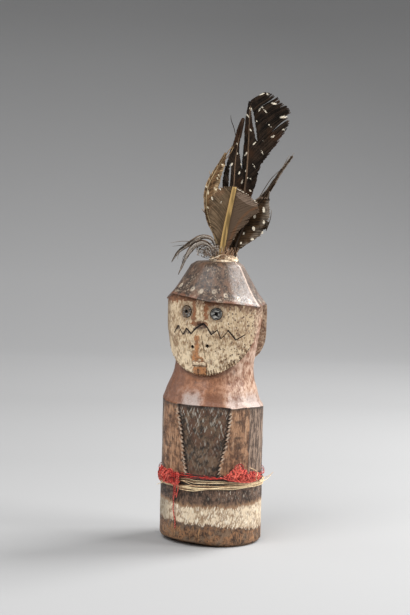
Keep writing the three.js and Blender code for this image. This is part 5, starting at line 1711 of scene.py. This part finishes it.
dark_feather = feather_finish("dark_feather", (0.006, 0.004, 0.0025), (0.03, 0.018, 0.011),
                              warm=(0.045, 0.02, 0.009), quill=(0.15, 0.095, 0.06))
khaki_feather = feather_finish("khaki_feather", (0.075, 0.05, 0.028), (0.17, 0.115, 0.068),
                               warm=(0.2, 0.11, 0.058), other_side=(0.1, 0.066, 0.043),
                               quill=(0.4, 0.26, 0.1))
golden_feather = feather_finish("golden_feather", (0.06, 0.033, 0.016), (0.25, 0.145, 0.07),
                                spot=(0.8, 0.68, 0.48), margin=(0.5, 0.36, 0.21))
right_feather = feather_finish("right_feather", (0.006, 0.004, 0.0025), (0.062, 0.034, 0.015),
                               margin=(0.28, 0.23, 0.18), quill=(0.05, 0.035, 0.025), warm=(0.07, 0.04, 0.02))
down_feather = feather_finish("down_feather", (0.03, 0.022, 0.016), (0.27, 0.205, 0.15),
                              spot=(0.42, 0.37, 0.32))
FEATHER_LOOKS = {
    "feather_tall": (dark_feather, "feather_dark"),
    "feather_tall_left": (dark_feather, "feather_dark"),
    "feather_cut": (khaki_feather, "feather_straw"),
    "feather_left": (golden_feather, "feather_golden"),
    "feather_right": (right_feather, "feather_dark"),
}
for feather_name, feather_facts in FEATHERS.items():
    feather_piece(feather_name, feather_facts, *FEATHER_LOOKS[feather_name])
down_piece(down_feather)

# %% [markdown]
# ## Packing in the crown
# The quills are wedged in a hollow with matted plant fibre, set in resin. It is a domed plug that
# rises a little over the crown, with loose fibres lying every way across it.

# %% A plug and its loose fibres
PACKING_PROFILE = [[10.2, 190.5], [10.35, 199.6], [9.3, 201.6], [6.5, 203.1], [3, 203.9], [0.1, 204.2]]
PACKING_FIBRES = 420
PACKING_FLUFF = 110
FIBRE_SHARES = np.linspace(0, 1, 9)
FIBRE_REACH = 10.2
FIBRE_LEVELS = (196, 204.9)
# Two pale fibres that lie across the front of the plug.
PACKING_TIES = [[[-6, 5.5, 201.4], [-3.2, 8.2, 201.6], [-0.9, 9.4, 203], [4.9, 9.6, 205], [7.4, 8.8, 202.3]],
                [[-5, 6.6, 203.2], [0, 9.4, 202], [5, 9.9, 202.4], [9.5, 8.4, 201.2]]]


def packing_plug():
    """A flat grid, rolled up and domed, with a lumpy top."""
    deselect()
    bpy.ops.mesh.primitive_grid_add(x_subdivisions=72, y_subdivisions=40, size=1)
    plug = bpy.context.object
    points = points_of(plug.data.vertices)
    angle, share = 360 * (points[:, 0] + 0.5), points[:, 1] + 0.5
    radius, height = (np.interp(share, np.linspace(0, 1, len(PACKING_PROFILE)), column)
                      for column in zip(*PACKING_PROFILE))
    around = np.radians(angle)
    places = np.stack([np.cos(around) * radius, np.sin(around) * radius, height], axis=-1)
    lumps = np.array([noise.noise(Vector(place) * 0.45) for place in places])
    rough = 0.9 * lumps * step(share, 0.25, 0.5)
    places = HOLLOW_PLACE + on_axis(angle, radius + np.minimum(0, rough), height + rough)
    plug.data.vertices.foreach_set("co", places.ravel())
    close_up(plug)
    return plug


def packing_lines(rng, start):
    """Fibres that wander over the dome and stay inside the hollow."""
    turn = rng.normal(0, 70, (PACKING_FIBRES, 1))
    where = np.sqrt(rng.uniform(0.02, 1, (PACKING_FIBRES, 1))) * 9.8
    pace = rng.uniform(3, 9, (PACKING_FIBRES, 1)) / len(FIBRE_SHARES)
    bend = np.radians(turn + rng.normal(0, 60, (PACKING_FIBRES, 1)) * FIBRE_SHARES)
    x, y = (where * part(np.radians(start)) + np.cumsum(part(bend), axis=1) * pace
            for part in (np.sin, np.cos))
    pull = np.minimum(1, FIBRE_REACH / np.maximum(np.hypot(x, y), 0.01))
    dome = np.interp(np.hypot(x, y) * pull, *zip(*PACKING_PROFILE[::-1]))
    dome = dome + rng.uniform(-0.2, 0.5, (PACKING_FIBRES, 1)) + 0.5 * np.sin(FIBRE_SHARES * 3 + start)
    places = np.stack([x * pull, y * pull, np.clip(dome, *FIBRE_LEVELS)], axis=-1)
    return HOLLOW_PLACE + places * MM


def fluff_lines(rng, start):
    """Fine fibres that stand up between the quills and sway a little."""
    def drifting(middle, spread, drift):
        first, more = rng.normal(middle, spread, (len(start), 1)), rng.normal(0, drift, (len(start), 1))
        return first + more * FIBRE_SHARES

    rise = rng.uniform(3, 8, (len(start), 1)) * FIBRE_SHARES
    across, near = drifting(3.5, 3.6, 1.6), drifting(2, 3.4, 1.2)
    sway = 0.6 * np.sin(FIBRE_SHARES * 7 + start)
    return in_view(across + sway, near, 202.5 + rise)


def packing_piece(finish):
    rng = np.random.default_rng(11)
    start = rng.uniform(0, 360, (PACKING_FIBRES, 1))
    taper = np.interp(FIBRE_SHARES, [0, 0.5, 1], [0.16, 0.2, 0.07])
    ties = [seen_line(route, len(FIBRE_SHARES)) for route in PACKING_TIES]
    parts = [packing_plug(),
             lay_strands("fibres", 4, packing_lines(rng, start), taper, taper, (0, 0, 1)),
             lay_strands("ties", 6, ties, 0.42, 0.34, (0, 0, 1)),
             lay_strands("fluff", 4, fluff_lines(rng, start[:PACKING_FLUFF]), taper, taper, TOWARDS_VIEWER,
                         brown=1)]
    stands_for(joined("crown_packing_fibre", parts), "crown_packing", finish)


def straw_finish(name, dark, pale, roughness=0.8):
    f = Finish(name, roughness=roughness)
    grain = f.noise(500, 4)
    tone = f.layers(
        dark,
        [pale, (f.sum(grain, f.noise(120, 3), f.product(f.by_strand(), 0.5)), 0.98, 1.46)],
        [(0.3, 0.16, 0.085), "brown", 0.85])
    return f.surface(tone, height=grain, depth=0.0003)


packing_fibre = straw_finish("packing_fibre", (0.42, 0.26, 0.15), (0.97, 0.82, 0.61))
packing_piece(packing_fibre)

# %% [markdown]
# ## Two bindings round the trunk
# A flat bundle of plant fibre goes round the trunk, and above it a few turns of red yarn. Both are
# made of strands that wander a little up and down and pass over and under each other.

# %% Strands round the trunk
# Courses of the bindings: angle, middle height and half width.
RED_COURSE = [[-98, 50.4, 1.1], [-17, 50.5, 1.1], [0, 50.3, 1.2], [28, 50.0, 0.9], [90, 50.2, 1.1],
              [262, 50.4, 1.1]]
LOWER_COURSE = [[-98, 42.8, 1.2], [-60, 42.6, 0.8], [-28, 42.5, 0.5], [-18, 41.9, 1.3], [0, 42.3, 1.7],
                [15, 43.2, 1.5], [45, 43.2, 1.5], [62, 43.3, 0.8], [80, 43.3, 0.8], [110, 43.2, 1.6],
                [180, 43, 1.7], [262, 42.8, 1.2]]
UPPER_COURSE = [[-98, 44.8, 0.5], [-30, 45.4, 0.5], [-18, 47.4, 0.8], [-8, 48, 0.8], [0, 46.8, 0.6],
                [15, 46.7, 0.5], [30, 46.9, 0.5], [45, 46, 0.4], [62, 44.6, 0.4], [80, 44.4, 0.4],
                [110, 44.9, 0.5], [180, 45, 0.6], [262, 44.8, 0.5]]
# A course, the number of its strands and the range of their half widths.
FIBRE_COURSES = [(LOWER_COURSE, 6, (0.26, 0.58)), (UPPER_COURSE, 3, (0.16, 0.32))]
COURSE_POINTS = 150
# Red yarn of two plies: points along a turn, offset and half width of a ply, twists in a turn.
RED_YARN = {"points": 560, "offset": 0.16, "half": 0.19, "twists": 90}
# Loose ends of fibre, as points of angle, radius and height.
FIBRE_ENDS = [[[60, 40, 57], [66, 42.6, 54.5], [68, 43, 52.4], [64.7, 43.2, 50], [68.5, 42.6, 46.7],
               [66, 39.2, 43.4]],
              [[72, 40.4, 46], [80, 42, 48.2], [90, 43.4, 49], [97, 44.6, 50.4]],
              [[74, 40.4, 45], [84, 42.2, 46.4], [93, 43.6, 48.6]],
              [[-44, 38, 42.2], [-54, 38.6, 40.6], [-61, 40.2, 38.8]],
              [[-20, 38.4, 47], [-10, 38.6, 46.4], [-2, 38.8, 44.8], [6, 38.6, 44.4]]]


def round_trunk(rng, count, course, out, wander):
    """Closed lines round the trunk within a course, some mm out from the wood."""
    angle = np.linspace(0, 360, COURSE_POINTS)
    middle, half = both_readings(course, wrapped(angle, SEAM_ANGLE))
    level = np.linspace(-1, 1, count)[:, None]

    def wave(low, high, times):
        swing = rng.uniform(low, high, (count, 1))
        return swing, np.sin(np.radians(angle * times) + rng.uniform(0, 6, (count, 1)))

    waves = sum(np.multiply(*wave(0.2, 1, times)) for times in (2, 3, 5, 8))
    depth, swell = wave(*out, 4)
    height = middle + half * (level + wander * waves)
    return on_axis(angle, trunk_round(angle, middle) + depth + 0.15 * swell, height)


def fibre_band(finish):
    rng = np.random.default_rng(21)
    parts = []
    for course, count, width in FIBRE_COURSES:
        lines = round_trunk(rng, count, course, (0.45, 1.2), 0.3)
        half = rng.uniform(*width, (count, 1))
        parts.append(lay_strands("fibres", 5, lines, half * 0.6, half, (0, 0, 1)))
    ends = [round_line(route, 13) for route in FIBRE_ENDS]
    taper = np.linspace(0.32, 0.16, 13)
    parts.append(lay_strands("ends", 5, ends, taper, taper, (0.2, 0.1, 1)))
    stands_for(joined("fibre_band_strands", parts), "fibre_band", finish)


def red_band(finish):
    rng = np.random.default_rng(5)
    lines = round_trunk(rng, 3, RED_COURSE, (0.6, 1.0), 0.35)
    fine = [evenly_spaced(strand, RED_YARN["points"]) for line in lines
            for strand in plied(line, 2, RED_YARN["offset"], RED_YARN["twists"])]
    piece = lay_strands("red_band_yarn", 5, fine, RED_YARN["half"], RED_YARN["half"], (0, 0, 1))
    stands_for(piece, "red_band", finish)


dry_straw = straw_finish("dry_straw", (0.46, 0.28, 0.15), (1.0, 0.8, 0.5), roughness=0.6)
fibre_band(dry_straw)
red_band(shaded_wool)

# %% [markdown]
# ## Frayed ends of the red yarn
# The ends of the yarn are bunched and frayed into two tufts. Each tuft is a bundle of curly hairs
# that loop out from the binding and back, with a few thicker plied strands among them.

# %% Two tufts
# Outlines as rows of angle, lowest and highest place; single strands as points of angle, radius, height.
TUFTS = {
    "red_tuft_left": {
        "outline": [[-54, 45.8, 50.4], [-50, 43.8, 53], [-43, 43, 55.7], [-33, 43.2, 54], [-26, 43.6, 55],
                    [-20, 42.4, 52.6], [-16, 42.8, 51.9], [-13.5, 44.5, 51.2]],
        "radii": (39.2, 42.9), "seed": 2, "loops": 26,
        "singles": [[[-17, 39.5, 52], [-14.8, 41.6, 50.6], [-14.9, 42, 47.6], [-16.6, 42, 44.8],
                     [-19.4, 40.4, 42.4]],
                    [[-16.5, 40.4, 44], [-17.4, 39.4, 40.4], [-19.6, 38.6, 36.6], [-20.6, 38.4, 34.2]],
                    [[-21.5, 40.4, 44], [-21, 39.4, 40.6], [-21.8, 38.7, 38], [-20.4, 38.4, 35]],
                    [[-18, 39.6, 52.4], [-16.4, 41.8, 50], [-16.2, 42.2, 47], [-18, 42, 44],
                     [-20.6, 40, 42]],
                    [[-22.4, 40.3, 44], [-23, 39.4, 38.8], [-25.2, 38.4, 34], [-24.4, 38.2, 30.4]]],
    },
    "red_tuft_right": {
        "outline": [[27.5, 50, 52], [32, 49.4, 53.2], [36.5, 48.4, 54.2], [41, 47.4, 58], [46.5, 47, 60.9],
                    [53, 46.6, 57.4], [58, 46.2, 54.8], [67, 46.3, 54.3], [74, 46.6, 52.6], [81, 48, 50.2]],
        "radii": (39.2, 43.3), "seed": 4, "loops": 30,
        "singles": [[[41, 39.8, 55], [43, 41.4, 59], [47, 41.8, 60.4], [51, 41.4, 58.4], [52, 40, 55]],
                    [[28, 39.4, 51], [36, 41.2, 49.6], [48, 42, 47.6], [60, 42, 46.9], [72, 40.6, 47.4]]],
    },
}
TUFT_HAIRS = 80
TUFT_PLY = {"points": 61, "offset": 0.2, "half": 0.26, "twists": 9}
HAIR_POINTS = 23
LOOP_POINTS = 31


def tuft_lines(facts, count, points, reach, rng):
    """Looping lines inside the tuft's outline, fuller in the middle."""
    def drawn(low, high):
        return rng.uniform(low, high, (count, 1))

    along = np.linspace(0, 1, points)
    outline, (least, most) = facts["outline"], facts["radii"]
    first, last = outline[0][0], outline[-1][0]
    start = drawn(0.02, 0.98 - reach)
    turn = along * drawn(5, 11) + drawn(0, 6)
    swing = drawn(0.4, 1)
    angle = first + (last - first) * (start + reach * along) + 2.6 * swing * np.cos(turn)
    angle = np.clip(angle, first, last)
    low, high = both_readings(outline, angle)
    up = 0.04 + 0.92 * step(drawn(0.15, 0.85) + 0.3 * swing * np.sin(turn), -0.1, 1.1)
    middling = 0.1 + 0.8 * (angle - first) / (last - first)
    full = np.sin(math.pi * middling) * np.sin(math.pi * (0.12 + 0.76 * up))
    out = full * np.clip(drawn(0.1, 1) + 0.25 * np.sin(turn * 1.3), 0, 1)
    return on_axis(angle, least + (most - least) * out, low + (high - low) * up)


def tuft_piece(name, facts, finish):
    rng = np.random.default_rng(facts["seed"])
    facing = (0.1, 0.2, 1)
    hairs = tuft_lines(facts, TUFT_HAIRS, HAIR_POINTS, 0.16, rng)
    thin = np.interp(np.linspace(0, 1, HAIR_POINTS), [0, 0.1, 0.9, 1], [0.04, 0.13, 0.12, 0.03])
    loops = [*tuft_lines(facts, facts["loops"], LOOP_POINTS, 0.28, rng),
             *(round_line(route, LOOP_POINTS) for route in facts["singles"])]
    loops = [evenly_spaced(line, TUFT_PLY["points"]) for line in loops]
    plies = [ply for line in loops for ply in plied(line, 2, TUFT_PLY["offset"], TUFT_PLY["twists"])]
    parts = [lay_strands("hairs", 4, hairs, thin, thin, facing),
             lay_strands("plies", 5, plies, TUFT_PLY["half"], TUFT_PLY["half"], facing)]
    stands_for(joined(f"{name}_yarn", parts), name, finish)


for tuft_name, tuft_facts in TUFTS.items():
    tuft_piece(tuft_name, tuft_facts, red_wool)

# %% [markdown]
# ## Eye inlays
# A ring of dull metal is set in each eye socket of the front face, with a hole for a pupil.

# %% Rings with rounded edges
def eye_ring(side, place, finish):
    """A ring pressed flat, so that only its edges stay round, and set upright in its socket."""
    angle, height = place
    middle = float(face_radius(np.array(angle), np.array(height))) + INLAY_PROUD - INLAY_THICKNESS / 2
    deselect()
    bpy.ops.mesh.primitive_torus_add(major_segments=48, minor_segments=16,
                                     major_radius=(INLAY_RADIUS + INLAY_HOLE) / 2 * MM,
                                     minor_radius=(INLAY_RADIUS - INLAY_HOLE) / 2 * MM)
    ring = bpy.context.object
    points = points_of(ring.data.vertices)
    half, flat = INLAY_THICKNESS / 2 * MM, INLAY_THICKNESS / (INLAY_RADIUS - INLAY_HOLE)
    points[:, 2] = np.clip(points[:, 2] * flat * 2.2, -half, half)
    turned = Vector(on_axis(angle, 1, 0) / MM).to_track_quat("Z", "Y").to_matrix()
    places = points @ np.array(turned).T + on_axis(angle, middle, height)
    ring.data.vertices.foreach_set("co", places.ravel())
    ring.name = f"eye_inlay_{side}_ring"
    bpy.ops.object.shade_smooth_by_angle(angle=math.radians(40))
    stands_for(ring, f"eye_inlay_{side}", finish)


def metal_finish():
    """Dull grey metal with pale scratches that also serve as painted glints; the ring on the left is the
    browner one.
    """
    f = Finish("eye_metal", roughness=0.5, Metallic=0.35)
    scratches_and_glints = f.noise(420, 5, f.stretched(1, 1, 3))
    on_left = f.between(f.axis(f.place, 0), 0.002, -0.002)
    tone = f.layers(
        (0.026, 0.024, 0.022),
        # Pale streaks: scratches, and painted glints.
        [(0.4, 0.39, 0.36), (scratches_and_glints, 0.46, 0.66)],
        [(0.13, 0.09, 0.06), on_left, (f.noise(500, 4), 0.36, 0.52)])
    return f.surface(tone, f.between(scratches_and_glints, 0.3, 0.7, 0.4, 0.7), scratches_and_glints, 0.0002)


eye_metal = metal_finish()
for eye_side, eye_place in EYES.items():
    eye_ring(eye_side, eye_place, eye_metal)
